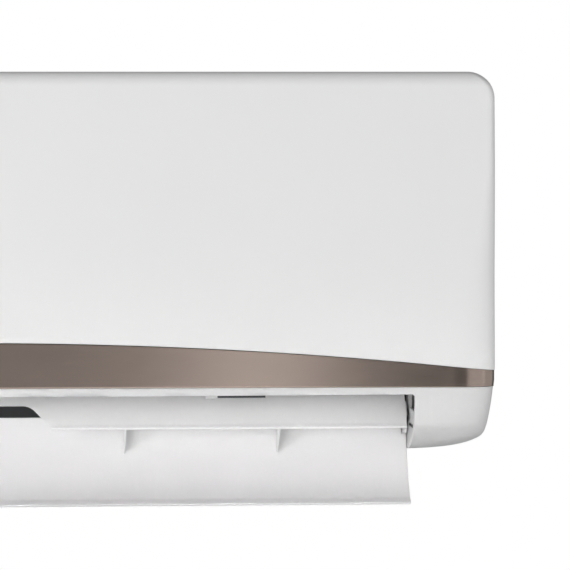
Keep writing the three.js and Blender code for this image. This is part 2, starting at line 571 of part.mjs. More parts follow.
function rearChassis() {
  const path = scrollPoints(0);
  const ringOuter = [
    ...path, [DUCT_LIP_DEPTH, 2.2], [DUCT_LIP_DEPTH, 0], [RECESS_DEPTH, 0], [RECESS_DEPTH, RECESS_TOP - 4],
    [RECESS_DEPTH - 4, RECESS_TOP], [CHASSIS_BACK, RECESS_TOP], [CHASSIS_BACK, 282],
        [CHASSIS_BACK + 2.4, 282],
    [CHASSIS_BACK + 2.4, TRAY_HEIGHT + 10], [CHASSIS_BACK + 6, TRAY_HEIGHT], [FAN_DEPTH - 66,
        TRAY_HEIGHT - 6],
    [FAN_DEPTH - 50, TRAY_HEIGHT - 4], [FAN_DEPTH - 40, TRAY_HEIGHT + 4]];
  const scrollInner = scrollPoints(CHASSIS_SKIN);
  const hollow = [
    ...scrollInner, [DUCT_LIP_DEPTH - 5, CHASSIS_SKIN], [RECESS_DEPTH + CHASSIS_SKIN, CHASSIS_SKIN],
    [RECESS_DEPTH + CHASSIS_SKIN, RECESS_TOP - 3], [RECESS_DEPTH - 3, RECESS_TOP + CHASSIS_SKIN],
    [CHASSIS_BACK + CHASSIS_SKIN, RECESS_TOP + CHASSIS_SKIN],
    [CHASSIS_BACK + CHASSIS_SKIN, TRAY_HEIGHT - 4], [FAN_DEPTH - 68, TRAY_HEIGHT - 9],
    [FAN_DEPTH - 44, TRAY_HEIGHT - 8]];
  const wall = OUTLET_HALF_WIDTH + 0.3;
  const duct = alongX(ringOuter, -wall, wall).subtract(alongX(hollow, -wall - 1, wall + 1));
  // Back wall, floor and recess carry on into both end bays.
  const bayOutline = [
    [DUCT_LIP_DEPTH, 0], [RECESS_DEPTH, 0], [RECESS_DEPTH, RECESS_TOP - 4], [RECESS_DEPTH - 4, RECESS_TOP],
    [CHASSIS_BACK, RECESS_TOP], [CHASSIS_BACK, 282], [CHASSIS_BACK + 2.4, 282],
    [CHASSIS_BACK + 2.4, RECESS_TOP + 2.4], [RECESS_DEPTH - 2.6, RECESS_TOP + 2.4],
    [RECESS_DEPTH + 2.4, RECESS_TOP - 2.6], [RECESS_DEPTH + 2.4, 2.4], [DUCT_LIP_DEPTH, 2.4]];
  const trim = envelope(caseInner + SEAT_GAP)
    .add(block(-CHASSIS_HALF_WIDTH, CHASSIS_HALF_WIDTH, 0, BODY_BACK + 6, 30, 250));
  const bays = bothSides(() => alongX(bayOutline, wall - 1, CHASSIS_HALF_WIDTH)
    .intersect(block(0, BODY_WIDTH, 0, BODY_DEPTH, 3.2, BODY_HEIGHT).add(
      block(0, HALF_WIDTH - 20, 0, BODY_DEPTH, -1, 4)))
    .intersect(trim.add(block(0, HALF_WIDTH - 29, 0, DUCT_LIP_DEPTH + 7, -1, 6))));
  const sidePlates = bothSides(() => {
    const plate = block(wall, wall + SIDE_PLATE, CHASSIS_BACK + 1, SIDE_PLATE_FRONT, 0.5, SIDE_PLATE_TOP);
    const capRoom = block(wall - 1, wall + SIDE_PLATE + 1, CAP_WALL_BACK - SEAT_GAP, 300, -1,
      CAP_WALL_TOP + SEAT_GAP);
    const recess = block(wall - 1, wall + SIDE_PLATE + 1, -1, RECESS_DEPTH + 1, -1, RECESS_TOP + 1);
    const shaftHole = rodX(SEAT_RADIUS, wall - 1, wall + SIDE_PLATE + 1, FAN_DEPTH, FAN_HEIGHT, 24);
    return without(plate, [capRoom, recess, shaftHole]);
  });
  const pipeHole = block(PIPE_BAY_X - 16, PIPE_BAY_X + 16, CHASSIS_BACK + 3, RECESS_DEPTH + 6, 8,
      RECESS_TOP + 6);
  const vaneHoles = vaneStations().map((x) => vaneTurned(
    rodUp(VANE_PIN_RADIUS + PIN_CLEARANCE, -12, 12, 8), x));
  // Saddle in the recess that holds the two pipes.
  const saddle = block(PIPE_SADDLE_X - 6, PIPE_SADDLE_X + 6, GAS_RUN.depth - 1, RECESS_DEPTH + 1,
    GAS_RUN.height - 10, LIQUID_RUN.height + 8);
  const channels = [[GAS_RUN, GAS_PIPE_RADIUS], [LIQUID_RUN, LIQUID_PIPE_RADIUS]].map(([run,
      radius]) => rodX(
    radius + SEAT_GAP, PIPE_SADDLE_X - 8, PIPE_SADDLE_X + 8, run.depth, run.height, 12));
  return without(joined([duct, bays, sidePlates, saddle]), [pipeHole, ...vaneHoles, ...channels]);
}

function rodUp(radius, z0, z1, sides) {
  const geometry = new THREE.CylinderGeometry(radius, radius, z1 - z0, sides).rotateX(Math.PI / 2);
  return geometry.translate(0, 0, (z0 + z1) / 2);
}

// ---------------------------------------------------------------- drain pan
function drainPan() {
  const outline = [
    [11.8, 49.2], [44, 76.4], [46.8, 80], [46, 84.4], [42.8, 84.4], [41, 79], [20, 68.6],
    [15.4, 70.5], [14.6, 98], [12.4, 98], [12.2, 62], [11.6, 53]].map(([behind,
        z]) => [BODY_DEPTH - behind, z]);
  const pan = alongX(outline, -OUTLET_HALF_WIDTH + SEAT_GAP, OUTLET_HALF_WIDTH - SEAT_GAP);
  const endOutline = outline.filter((_, i) => i < 5 || i > 7);
  const ends = bothSides(() => alongX(endOutline, OUTLET_HALF_WIDTH - 3, OUTLET_HALF_WIDTH - SEAT_GAP));
  const spigot = rodX(6.5, OUTLET_HALF_WIDTH - 2, OUTLET_HALF_WIDTH + 14, DRAIN_DEPTH, DRAIN_HEIGHT, 14);
  const bore = rodX(4.6, OUTLET_HALF_WIDTH - 8, OUTLET_HALF_WIDTH + 15, DRAIN_DEPTH, DRAIN_HEIGHT, 14);
  return joined([pan, ends, spigot, mirrored(spigot)]).subtract(bore).subtract(mirrored(bore));
}

function drainPlug() {
  const head = rodX(6, -OUTLET_HALF_WIDTH - 17, -OUTLET_HALF_WIDTH - 14 - SEAT_GAP, DRAIN_DEPTH,
      DRAIN_HEIGHT, 14);
  const stem = rodX(4.2, -OUTLET_HALF_WIDTH - 14 - SEAT_GAP - 1, -OUTLET_HALF_WIDTH - 4, DRAIN_DEPTH,
      DRAIN_HEIGHT, 14);
  return head.add(stem);
}

// ---------------------------------------------------------------- heat exchanger
// Each slab is the strip between its inner face's two ends and that face moved out by the thickness.
const SLABS = {
  evaporator_front: { from: [BODY_DEPTH - 39.8, 88], to: [BODY_DEPTH - 39.8, 173] },
  evaporator_top: { from: [BODY_DEPTH - 42, 178], to: [BODY_DEPTH - 97, 234] },
  evaporator_rear: { from: [BODY_DEPTH - 105, 234], to: [42, 180] },
};

// The slab's unit direction from end to end, and the one square to it that its thickness takes.
function slabAxes({ from, to }) {
  const length = Math.hypot(to[0] - from[0], to[1] - from[1]);
  const along = [(to[0] - from[0]) / length, (to[1] - from[1]) / length];
  return { along, out: [along[1], -along[0]] };
}

function slabCorners(slab, margin, cover = margin) {
  const { from, to, thickness = COIL_THICKNESS } = slab;
  const { along, out } = slabAxes(slab);
  const point = (base, run, push) => [
    base[0] + along[0] * run + out[0] * push, base[1] + along[1] * run + out[1] * push];
  return [point(from, -margin, -margin), point(to, margin, -margin),
    point(to, margin, thickness + cover), point(from, -margin, thickness + cover)];
}

function finSlab(slab) {
  const core = alongX(slabCorners(slab, 0), -COIL_HALF_LENGTH, COIL_HALF_LENGTH);
  const pitch = (2 * COIL_HALF_LENGTH) / FIN_COUNT;
  const grooves = [];
  const wide = slabCorners(slab, 4);
  const base = { ...slab, thickness: COIL_THICKNESS - FIN_GROOVE };
  for (let i = 0; i < FIN_COUNT; i += 1) {
    const x = -COIL_HALF_LENGTH + pitch * (i + 0.35);
    grooves.push(alongX(wide, x, x + pitch * 0.3));
  }
  const kept = alongX(slabCorners(base, 5, 0), -COIL_HALF_LENGTH - 1, COIL_HALF_LENGTH + 1);
  return core.subtract(joined(grooves).subtract(kept));
}

function coilPlate(side, withHeader) {
  const x0 = COIL_HALF_LENGTH + SEAT_GAP;
  const plates = Object.values(SLABS).map((slab) => alongX(slabCorners(slab, 2), x0, x0 + COIL_PLATE));
  const ties = [
    [[43, 168], [17, 168], [25, 196], [46, 178]],
    [[95, 230], [81, 252], [117, 254], [107, 230]]].map(
    (outline) => outline.map(([behind, z]) => [BODY_DEPTH - behind, z]));
  const tieSolids = ties.map((outline) => alongX(outline, x0, x0 + COIL_PLATE));
  const bends = [];
  for (const slab of Object.values(SLABS)) {
    const { along, out } = slabAxes(slab);
    for (let i = 0; i < BENDS_PER_SLAB; i += 1) {
      const share = (i + 0.5) / BENDS_PER_SLAB;
      const centre = [
        slab.from[0] + (slab.to[0] - slab.from[0]) * share + (out[0] * COIL_THICKNESS) / 2,
        slab.from[1] + (slab.to[1] - slab.from[1]) * share + (out[1] * COIL_THICKNESS) / 2];
      bends.push(returnBend(x0 + COIL_PLATE * 0.8, centre, along));
    }
  }
  const whole = joined([...plates, ...tieSolids, ...bends]);
  const header = rodX(TUBE_RADIUS, x0 + 0.4, PIPE_BAY_X - 14, FAN_DEPTH - 42, 214, 10);
  const right = withHeader ? whole.add(header) : whole;
  return side > 0 ? right : mirrored(whole);
}

function returnBend(x, [d, z], along) {
  const points = arcPoints(0, 0, RETURN_BEND_RADIUS, -90, 90, 4);
  const path = new THREE.CatmullRomCurve3(points.map(([out, run]) => new THREE.Vector3(
    x + out, -(d + along[0] * run), z + along[1] * run)));
  const section = new THREE.Shape(toPoints(arcPoints(0, 0, TUBE_RADIUS, 0, 288, 4)));
  return solidFrom(new THREE.ExtrudeGeometry(section, { extrudePath: path, steps: 4, bevelEnabled: false }));
}

// ---------------------------------------------------------------- refrigerant pipes
function bentPipe(points, radius, sides, steps) {
  const path = new THREE.CatmullRomCurve3(points.map(([x, d, z]) => new THREE.Vector3(x, -d, z)), false,
    'catmullrom', 0.35);
  const section = new THREE.Shape(toPoints(arcPoints(0, 0, radius, 0, 360 - 360 / sides, sides - 1)));
  return solidFrom(new THREE.ExtrudeGeometry(section, { extrudePath: path, steps, bevelEnabled: false }));
}

function pipeRun(run, radius) {
  const { depth, height, column } = run;
  return bentPipe([
    [column, 50, 200], [column, 50, 120], [column, 46, 74], [column - 2, 30, height + 6],
    [column - 22, depth, height], [300, depth, height], [PIPE_END_X, depth, height]], radius, 8, 18);
}

function flareNut(run, radius) {
  const body = rodX(radius + 5, PIPE_END_X - 18, PIPE_END_X + 4, run.depth, run.height, 6);
  return body.subtract(rodX(radius + SEAT_GAP, PIPE_END_X - 0.1, PIPE_END_X + 5, run.depth, run.height, 10))
    .subtract(rodX(radius + 2.4, PIPE_END_X - 19, PIPE_END_X - 6, run.depth, run.height, 10));
}

// ---------------------------------------------------------------- cross-flow fan
function fanBladeOutline(index) {
  const mid = FAN_RADIUS - 1.6 - BLADE_CHORD / 2 * Math.sin(BLADE_PITCH_ANGLE * DEG);
  const lift = [0, BLADE_CAMBER, 0];
  const run = [-0.5, 0, 0.5];
  const outerLine = run.map((t, i) => [t * BLADE_CHORD, lift[i] + BLADE_THICKNESS * (i === 1 ? 0.5 : 0.25)]);
  const innerLine = run.map((t, i) => [t * BLADE_CHORD, lift[i] - BLADE_THICKNESS * (i === 1 ? 0.5 : 0.25)]);
  const local = [...outerLine, ...innerLine.reverse()];
  const turn = (360 / FAN_BLADES) * index * DEG;
  const pitch = BLADE_PITCH_ANGLE * DEG;
  return local.map(([a, b]) => {
    const radial = mid + a * Math.sin(pitch) + b * Math.cos(pitch);
    const tangent = a * Math.cos(pitch) - b * Math.sin(pitch);
    return [
      FAN_DEPTH + radial * Math.cos(turn) - tangent * Math.sin(turn),
      FAN_HEIGHT + radial * Math.sin(turn) + tangent * Math.cos(turn)];
  });
}

function crossFlowFan() {
  const blades = Array.from({ length: FAN_BLADES }, (_, i) => alongX(
    fanBladeOutline(i), -FAN_HALF_LENGTH + 0.4, FAN_HALF_LENGTH - 0.4));
  const discs = [];
  for (let i = 0; i <= FAN_BAYS; i += 1) {
    const x = -FAN_HALF_LENGTH + ((2 * FAN_HALF_LENGTH - FAN_DISC) * i) / FAN_BAYS;
    const disc = rodX(FAN_RADIUS, x, x + FAN_DISC, FAN_DEPTH, FAN_HEIGHT, 32);
    const isEnd = i === 0 || i === FAN_BAYS;
    discs.push(isEnd ? disc : disc.subtract(
      rodX(FAN_RADIUS - BLADE_CHORD - 3, x - 1, x + FAN_DISC + 1, FAN_DEPTH, FAN_HEIGHT, 20)));
  }
  const hub = bothSides(() => rodX(HUB_RADIUS, FAN_HALF_LENGTH - HUB_LENGTH, FAN_HALF_LENGTH - 0.5,
    FAN_DEPTH, FAN_HEIGHT, 16));
  const bore = bothSides(() => rodX(SHAFT_RADIUS + SEAT_GAP, FAN_HALF_LENGTH - HUB_LENGTH + 2,
    FAN_HALF_LENGTH + 2, FAN_DEPTH, FAN_HEIGHT, 12));
  return joined([...discs, hub, ...blades]).subtract(bore);
}

function fanShaft() {
  return rodX(SHAFT_RADIUS, FAN_HALF_LENGTH - HUB_LENGTH + 2 + SEAT_GAP, MOTOR_START + 10,
    FAN_DEPTH, FAN_HEIGHT, 12);
}

function fanStub() {
  return mirrored(rodX(SHAFT_RADIUS, FAN_HALF_LENGTH - HUB_LENGTH + 2 + SEAT_GAP, OUTLET_HALF_WIDTH + 4,
    FAN_DEPTH, FAN_HEIGHT, 12));
}

function fanBearing() {
  const x0 = -OUTLET_HALF_WIDTH - 5;
  const ring = joined([
    rodX(SEAT_RADIUS - SEAT_GAP, x0, x0 + 6.5, FAN_DEPTH, FAN_HEIGHT, 24),
    rodX(SEAT_RADIUS + 4, x0, x0 + 2, FAN_DEPTH, FAN_HEIGHT, 24)]);
  return ring.subtract(rodX(SHAFT_RADIUS + SEAT_GAP, x0 - 1, x0 + 9, FAN_DEPTH, FAN_HEIGHT, 12));
}

function blowerMotor() {
  const can = rodX(MOTOR_RADIUS, MOTOR_START + 3, MOTOR_START + MOTOR_LENGTH, FAN_DEPTH, FAN_HEIGHT, 28);
  const nose = rodX(14, OUTLET_HALF_WIDTH + 3.5, MOTOR_START + 4, FAN_DEPTH, FAN_HEIGHT, 18);
  const flange = rodX(MOTOR_RADIUS + 3, MOTOR_START + 18, MOTOR_START + 21, FAN_DEPTH, FAN_HEIGHT, 28);
  const bore = rodX(SHAFT_RADIUS + SEAT_GAP, OUTLET_HALF_WIDTH, MOTOR_START + 12, FAN_DEPTH, FAN_HEIGHT, 12);
  return joined([can, nose, flange]).subtract(bore);
}

function motorClamp() {
  const x0 = MOTOR_START + 24;
  const strap = rodX(MOTOR_RADIUS + 3.5, x0, x0 + 12, FAN_DEPTH, FAN_HEIGHT, 28)
    .subtract(rodX(MOTOR_RADIUS + SEAT_GAP, x0 - 1, x0 + 13, FAN_DEPTH, FAN_HEIGHT, 28));
  const foot = block(x0, x0 + 12, RECESS_DEPTH + 2.4 + SEAT_GAP, FAN_DEPTH, 2.4 + SEAT_GAP, 10)
    .add(block(x0, x0 + 12, FAN_DEPTH - 30, FAN_DEPTH - 26, 9, 92))
    .add(block(x0, x0 + 12, FAN_DEPTH + 26, FAN_DEPTH + 30, 9, 92))
    .add(block(x0, x0 + 12, FAN_DEPTH, FAN_DEPTH + 28, 2.4 + SEAT_GAP, 10));
  return strap.add(foot.subtract(rodX(MOTOR_RADIUS + 1, x0 - 1, x0 + 13, FAN_DEPTH, FAN_HEIGHT, 28)));
}

// ---------------------------------------------------------------- louver
const PIVOT = [LOUVER_PIVOT_DEPTH, LOUVER_PIVOT_HEIGHT];

// Turns a side-view point about the pivot; the louver swings down and forward as it opens.
function opened([d, z]) {
  const angle = -LOUVER_OPEN_ANGLE * DEG;
  const a = d - PIVOT[0];
  const b = z - PIVOT[1];
  return [PIVOT[0] + a * Math.cos(angle) - b * Math.sin(angle),
      PIVOT[1] + a * Math.sin(angle) + b * Math.cos(angle)];
}

// Points along the closed flap: a chord with a bulge outward, from the rear edge to the front edge.
function flapLine(push, steps = 8) {
  const run = [FLAP_FRONT.depth - FLAP_REAR.depth, FLAP_FRONT.height - FLAP_REAR.height];
  const length = Math.hypot(...run);
  const out = [run[1] / length, -run[0] / length];
  return Array.from({ length: steps + 1 }, (_, i) => {
    const t = i / steps;
    const bulge = FLAP_BULGE * 4 * t * (1 - t) * (1 + 0.35 * (t - 0.5)) + push;
    return [FLAP_REAR.depth + run[0] * t + out[0] * bulge, FLAP_REAR.height + run[1] * t + out[1] * bulge];
  });
}

function louverFlap() {
  const outer = flapLine(0);
  const inner = flapLine(-FLAP_THICKNESS).reverse();
  const section = [...outer, ...inner].map(opened);
  const long = FLAP_HALF_FRONT + 2;
  const sheet = alongX(section, -long, long);
  // The ends spread a little toward the front edge.
  const [rearD, rearZ] = opened(outer[0]);
  const [frontD, frontZ] = opened(outer[outer.length - 1]);
  const taper = alongDepth([
    [-FLAP_HALF_REAR, rearZ + 12], [-FLAP_HALF_FRONT, frontZ - 12],
    [FLAP_HALF_FRONT, frontZ - 12], [FLAP_HALF_REAR, rearZ + 12]], rearD - 60, frontD + 60);
  const gussets = bothSides(() => joined(gussetStations().map((x) => gusset(x))));
  const bladeRoom = innerBladeSolid(SEAT_GAP, 0);
  const endArms = bothSides(() => {
    const arm = alongX([
      [PIVOT[0] + 1, PIVOT[1] - 5], opened([FLAP_REAR.depth + 3, FLAP_REAR.height + 1.5]),
      opened([FLAP_REAR.depth + 30, FLAP_REAR.height + 6]), bladePoint(0.75, -2), bladePoint(0.15, -2),
      [PIVOT[0] - 2, PIVOT[1] + 6]], FLAP_HALF_REAR - 4, FLAP_HALF_REAR - 1);
    const hub = rodX(4.6, FLAP_HALF_REAR - 4, FLAP_HALF_REAR, ...PIVOT);
    const pin = rodX(LOUVER_PIN_RADIUS, FLAP_HALF_REAR - 2, OUTLET_HALF_WIDTH + CAP_WALL + 0.6, ...PIVOT);
    return joined([arm, hub, pin]);
  });
  // The rear edge is slotted for the middle bracket, with a lug and the pivot pin across the slot.
  const slotHalf = SUPPORT_THICKNESS / 2 + SUPPORT_SIDE_GAP;
  const slot = alongX([
    [PIVOT[0] - 24, PIVOT[1] - 18], [PIVOT[0] + 9, PIVOT[1] - 18], [PIVOT[0] + 9, PIVOT[1] + 8],
    [PIVOT[0] - 24, PIVOT[1] + 8]].map(opened), -slotHalf, slotHalf);
  const lugs = bothSides(() => {
    const lug = alongX([
      opened(flapLine(-FLAP_THICKNESS * 0.5)[0]), opened(flapLine(-FLAP_THICKNESS * 0.5)[2]),
      opened([PIVOT[0] + 5, PIVOT[1] + 4]), opened([PIVOT[0] - 3, PIVOT[1] + 4.4])], slotHalf, slotHalf + 4);
    return lug.add(rodX(LOUVER_PIN_RADIUS, 0, slotHalf + 4, ...PIVOT));
  });
  return joined([sheet.intersect(taper).subtract(slot), gussets, endArms, lugs]).subtract(bladeRoom);
}

const gussetStations = () => [GUSSET_FIRST, GUSSET_FIRST + GUSSET_PITCH];

// A point on the open inner blade: share 0 at its rear edge, 1 at its front edge, pushed along its normal.
function bladePoint(share, push) {
  const rear = opened([INNER_BLADE_REAR.depth, INNER_BLADE_REAR.height]);
  const front = opened([INNER_BLADE_FRONT.depth, INNER_BLADE_FRONT.height]);
  const length = Math.hypot(front[0] - rear[0], front[1] - rear[1]);
  const along = [(front[0] - rear[0]) / length, (front[1] - rear[1]) / length];
  return [rear[0] + along[0] * length * share - along[1] * push,
      rear[1] + along[1] * length * share + along[0] * push];
}

function gusset(x) {
  const foot = opened(flapLine(-FLAP_THICKNESS * 0.6)[3]);
  const heel = opened(flapLine(-FLAP_THICKNESS * 0.6)[1]);
  return alongX([bladePoint(0.98, 0.4), foot, heel, bladePoint(0.3, 0.4)],
    x - GUSSET_THICKNESS / 2, x + GUSSET_THICKNESS / 2);
}

function innerBladeSolid(grow, endCut) {
  const half = FLAP_HALF_REAR - endCut + grow;
  const thick = INNER_BLADE_THICKNESS / 2 + grow;
  const reach = grow / 30;
  const section = [
    bladePoint(-reach, thick), bladePoint(0.5, thick + 0.8), bladePoint(1 + reach, thick),
    bladePoint(1 + reach, -thick), bladePoint(0.5, -thick + 0.8), bladePoint(-reach, -thick)];
  return alongX(section, -half, half);
}

function innerBlade() {
  const [, frontZ] = bladePoint(1, 0);
  const notch = alongDepth([
    [-NOTCH_HALF_BOTTOM, frontZ - 6], [NOTCH_HALF_BOTTOM, frontZ - 6], [NOTCH_HALF_BOTTOM, frontZ + 0.5],
    [NOTCH_HALF_TOP, frontZ + NOTCH_DEPTH], [-NOTCH_HALF_TOP, frontZ + NOTCH_DEPTH],
    [-NOTCH_HALF_BOTTOM, frontZ + 0.5]], MID_DEPTH, BODY_DEPTH);
  const bracketRoom = alongX([bladePoint(-0.2, -4), bladePoint(0.3, -4), bladePoint(0.3, 4),
      bladePoint(-0.2, 4)],
    -SUPPORT_THICKNESS / 2 - SUPPORT_SIDE_GAP, SUPPORT_THICKNESS / 2 + SUPPORT_SIDE_GAP);
  return innerBladeSolid(0, 0.5).subtract(notch).subtract(bracketRoom);
}

// A bracket on the duct's lip whose eye carries the louver's middle pivot.
function centreSupport() {
  const half = SUPPORT_THICKNESS / 2;
  const heel = DUCT_LIP_DEPTH - 15;
  const toe = DUCT_LIP_DEPTH - 0.6;
  const arm = alongX([
    [heel, ductWallHeight(heel) + SEAT_GAP * 1.3], [toe, ductWallHeight(toe) + SEAT_GAP * 1.3],
    [PIVOT[0] - 1, PIVOT[1] - 3.4], [PIVOT[0] - 1, PIVOT[1] + 3.4], [heel + 3,
        ductWallHeight(heel) + 5]], -half, half);
  const eye = rodX(SUPPORT_EYE, -half, half, ...PIVOT);
  return arm.add(eye).subtract(rodX(LOUVER_PIN_RADIUS + PIN_CLEARANCE, -half - 1, half + 1, ...PIVOT));
}

// ---------------------------------------------------------------- vertical vanes
const vaneStations = () => {
  const right = Array.from({ length: VANE_COUNT }, (_, i) => VANE_FIRST + VANE_PITCH * i);
  return [...right, ...right.map((x) => -x)];
};

// Height of the duct's rear wall below a depth.
function ductWallHeight(d) {
  const points = scrollPoints(0);
  const [startD, startZ] = points[points.length - 1];
  return startZ + ((2.2 - startZ) * (d - startD)) / (DUCT_LIP_DEPTH - startD);
}

// Places a vane-shaped geometry, made upright with the air flowing toward -Y, on the sloping duct wall.
function vaneTurned(geometry, x) {
  const tilt = new THREE.Matrix4().makeRotationX(FLOW_ANGLE * DEG);
  const foot = new THREE.Matrix4().makeTranslation(x, -VANE_FOOT_DEPTH, ductWallHeight(VANE_FOOT_DEPTH));
  return solidFrom(geometry.clone().applyMatrix4(tilt).applyMatrix4(foot));
}

function verticalVane(x) {
  const half = VANE_LENGTH / 2;
  const slotEnd = LINK_OFFSET - LINK_SIZE / 2 - LINK_TURN_GAP;
  const slotHalf = LINK_SIZE / 2 + SEAT_GAP;
  const outline = [
    [-half + 6, VANE_FOOT_GAP], [half - 3, VANE_FOOT_GAP], [half, VANE_FOOT_GAP + 6], [half,
        LINK_HEIGHT - slotHalf],
    [slotEnd, LINK_HEIGHT - slotHalf], [slotEnd, LINK_HEIGHT + slotHalf], [half, LINK_HEIGHT + slotHalf],
    [half, VANE_HEIGHT - 8], [half - 8, VANE_HEIGHT], [-half + 4, VANE_HEIGHT], [-half, VANE_HEIGHT - 6],
    [-half, VANE_FOOT_GAP + 8]];
  const points = outline.map(([run, rise]) => new THREE.Vector2(-run, rise));
  const turn = new THREE.Matrix4().makeBasis(
    new THREE.Vector3(0, 1, 0), new THREE.Vector3(0, 0, 1), new THREE.Vector3(1, 0, 0));
  const plate = extrude(points, VANE_THICKNESS).applyMatrix4(turn).translate(-VANE_THICKNESS / 2, 0, 0);
  const blade = vaneTurned(plate, x);
  const pin = vaneTurned(rodUp(VANE_PIN_RADIUS, -1.5, VANE_FOOT_GAP + 4, 8), x);
  return blade.add(pin);
}

function linkRod(side) {
  const first = VANE_FIRST - 8;
  const last = VANE_FIRST + VANE_PITCH * (VANE_COUNT - 1) + 8;
  const bar = new THREE.BoxGeometry(last - first, LINK_SIZE, LINK_SIZE);
  bar.translate((first + last) / 2, -LINK_OFFSET, LINK_HEIGHT);
  const solid = vaneTurned(bar, 0);
  return side > 0 ? solid : mirrored(solid);
}

// ---------------------------------------------------------------- small motors and electrics
function louverMotor() {
  const x0 = OUTLET_HALF_WIDTH + SEAT_GAP + SIDE_PLATE + SEAT_GAP;
  const can = rodX(STEPPER_RADIUS, x0 + 1.5, x0 + STEPPER_LENGTH, PIVOT[0], PIVOT[1] + STEPPER_OFFSET, 20);
  const ears = block(x0, x0 + 1.6, PIVOT[0] - 17, PIVOT[0] + 17, PIVOT[1] + STEPPER_OFFSET - 4,
    PIVOT[1] + STEPPER_OFFSET + 4);
  const face = rodX(STEPPER_RADIUS, x0, x0 + 1.6, PIVOT[0], PIVOT[1] + STEPPER_OFFSET, 20);
  const bore = rodX(LOUVER_PIN_RADIUS + PIN_CLEARANCE, x0 - 1, x0 + 8, ...PIVOT);
  return joined([can, ears, face]).subtract(bore);
}

function vaneMotor(side) {
  const x0 = OUTLET_HALF_WIDTH + 0.3 + SIDE_PLATE + SEAT_GAP;
  const solid = rodX(STEPPER_RADIUS, x0, x0 + STEPPER_LENGTH, VANE_FOOT_DEPTH + 18, 44, 20)
    .subtract(rodX(2.5, x0 + 6, x0 + STEPPER_LENGTH + 1, VANE_FOOT_DEPTH + 18, 44, 8));
  return side > 0 ? solid : mirrored(solid);
}

function electricBox() {
  const shell = block(BOX_LEFT, BOX_RIGHT, BOX_BACK, BOX_FRONT - BOX_SKIN - SEAT_GAP, BOX_BOTTOM, BOX_TOP);
  const hollow = block(BOX_LEFT + BOX_SKIN, BOX_RIGHT - BOX_SKIN, BOX_BACK + BOX_SKIN, BOX_FRONT + 1,
    BOX_BOTTOM + BOX_SKIN, BOX_TOP - BOX_SKIN);
  const wireSlot = block(BOX_LEFT - 1, BOX_LEFT + BOX_SKIN + 1, BOX_BACK + 8, BOX_BACK + 20, 90, 110);
  const sidePlateFace = OUTLET_HALF_WIDTH + SEAT_GAP + SIDE_PLATE + SEAT_GAP;
  const foot = block(sidePlateFace, BOX_LEFT + 0.5, BOX_BACK + 1, SIDE_PLATE_FRONT - 3, 100, 130);
  return shell.add(foot).subtract(hollow).subtract(wireSlot);
}

function electricCover() {
  const plate = block(BOX_LEFT, BOX_RIGHT, BOX_FRONT - BOX_SKIN, BOX_FRONT, BOX_BOTTOM + 34, BOX_TOP);
  const tab = block(BOX_LEFT + 12, BOX_RIGHT - 12, BOX_FRONT - BOX_SKIN, BOX_FRONT, BOX_BOTTOM + 28,
      BOX_BOTTOM + 35);
  return plate.add(tab);
}

function controlBoard() {
  const board = block(BOX_LEFT + BOX_SKIN + SEAT_GAP, BOX_LEFT + BOX_SKIN + SEAT_GAP + 1.6, BOX_BACK + 4,
    BOX_FRONT - 5, BOX_BOTTOM + 40, BOX_TOP - 6);
  const x0 = BOX_LEFT + BOX_SKIN + SEAT_GAP + 1.4;
  const parts = [[0, 16, 12, 118], [6, 14, 12, 136], [2, 18, 14, 168], [10, 9, 10, 200], [3, 20, 6, 216]];
  return joined([board, ...parts.map(([shift, size, tall, z]) => block(
    x0, x0 + tall, BOX_BACK + 6 + shift, BOX_BACK + 6 + shift + size * 0.7, z, z + size))]);
}

function terminalBlock() {
  const z0 = BOX_BOTTOM + BOX_SKIN + SEAT_GAP;
  const body = block(BOX_LEFT + 4, BOX_RIGHT - 4, BOX_BACK + 8, BOX_FRONT - 8, z0, z0 + 20);
  const slots = [0, 1, 2, 3].map((i) => block(BOX_LEFT + 6 + i * 5.6, BOX_LEFT + 9.6 + i * 5.6,
    BOX_FRONT - 16, BOX_FRONT - 7, z0 + 5, z0 + 16));
  return without(body, slots);
}

function displayHousing() {
  const tray = block(DISPLAY_X - 34, DISPLAY_X + 34, DISPLAY_BACK, DISPLAY_BACK + 5.4, DISPLAY_Z,
      DISPLAY_Z + 20);
  return tray.subtract(block(DISPLAY_X - 32.4, DISPLAY_X + 32.4, DISPLAY_BACK + 1.2, DISPLAY_BACK + 6,
    DISPLAY_Z + 1.6, DISPLAY_Z + 18.4));
}

function displayBoard() {
  const face = DISPLAY_BACK + 2.8;
  const top = DISPLAY_BACK + 5.2;
  const board = block(DISPLAY_X - 32, DISPLAY_X + 32, DISPLAY_BACK + 1.6, DISPLAY_BACK + 3,
    DISPLAY_Z + 2, DISPLAY_Z + 18);
  const digits = block(DISPLAY_X - 24, DISPLAY_X + 6, face, top, DISPLAY_Z + 4, DISPLAY_Z + 16);
  const receiver = block(DISPLAY_X + 18, DISPLAY_X + 26, face, top, DISPLAY_Z + 6, DISPLAY_Z + 14);
  return joined([board, digits, receiver]);
}

function coilSensor() {
  const face = SLABS.evaporator_front.from[0] + COIL_THICKNESS + SEAT_GAP;
  return rodDepth(2.2, face + 0.5, face + 7.5, 250, 150, 8).add(block(246.5, 253.5, face, face + 1.3,
      142, 158));
}

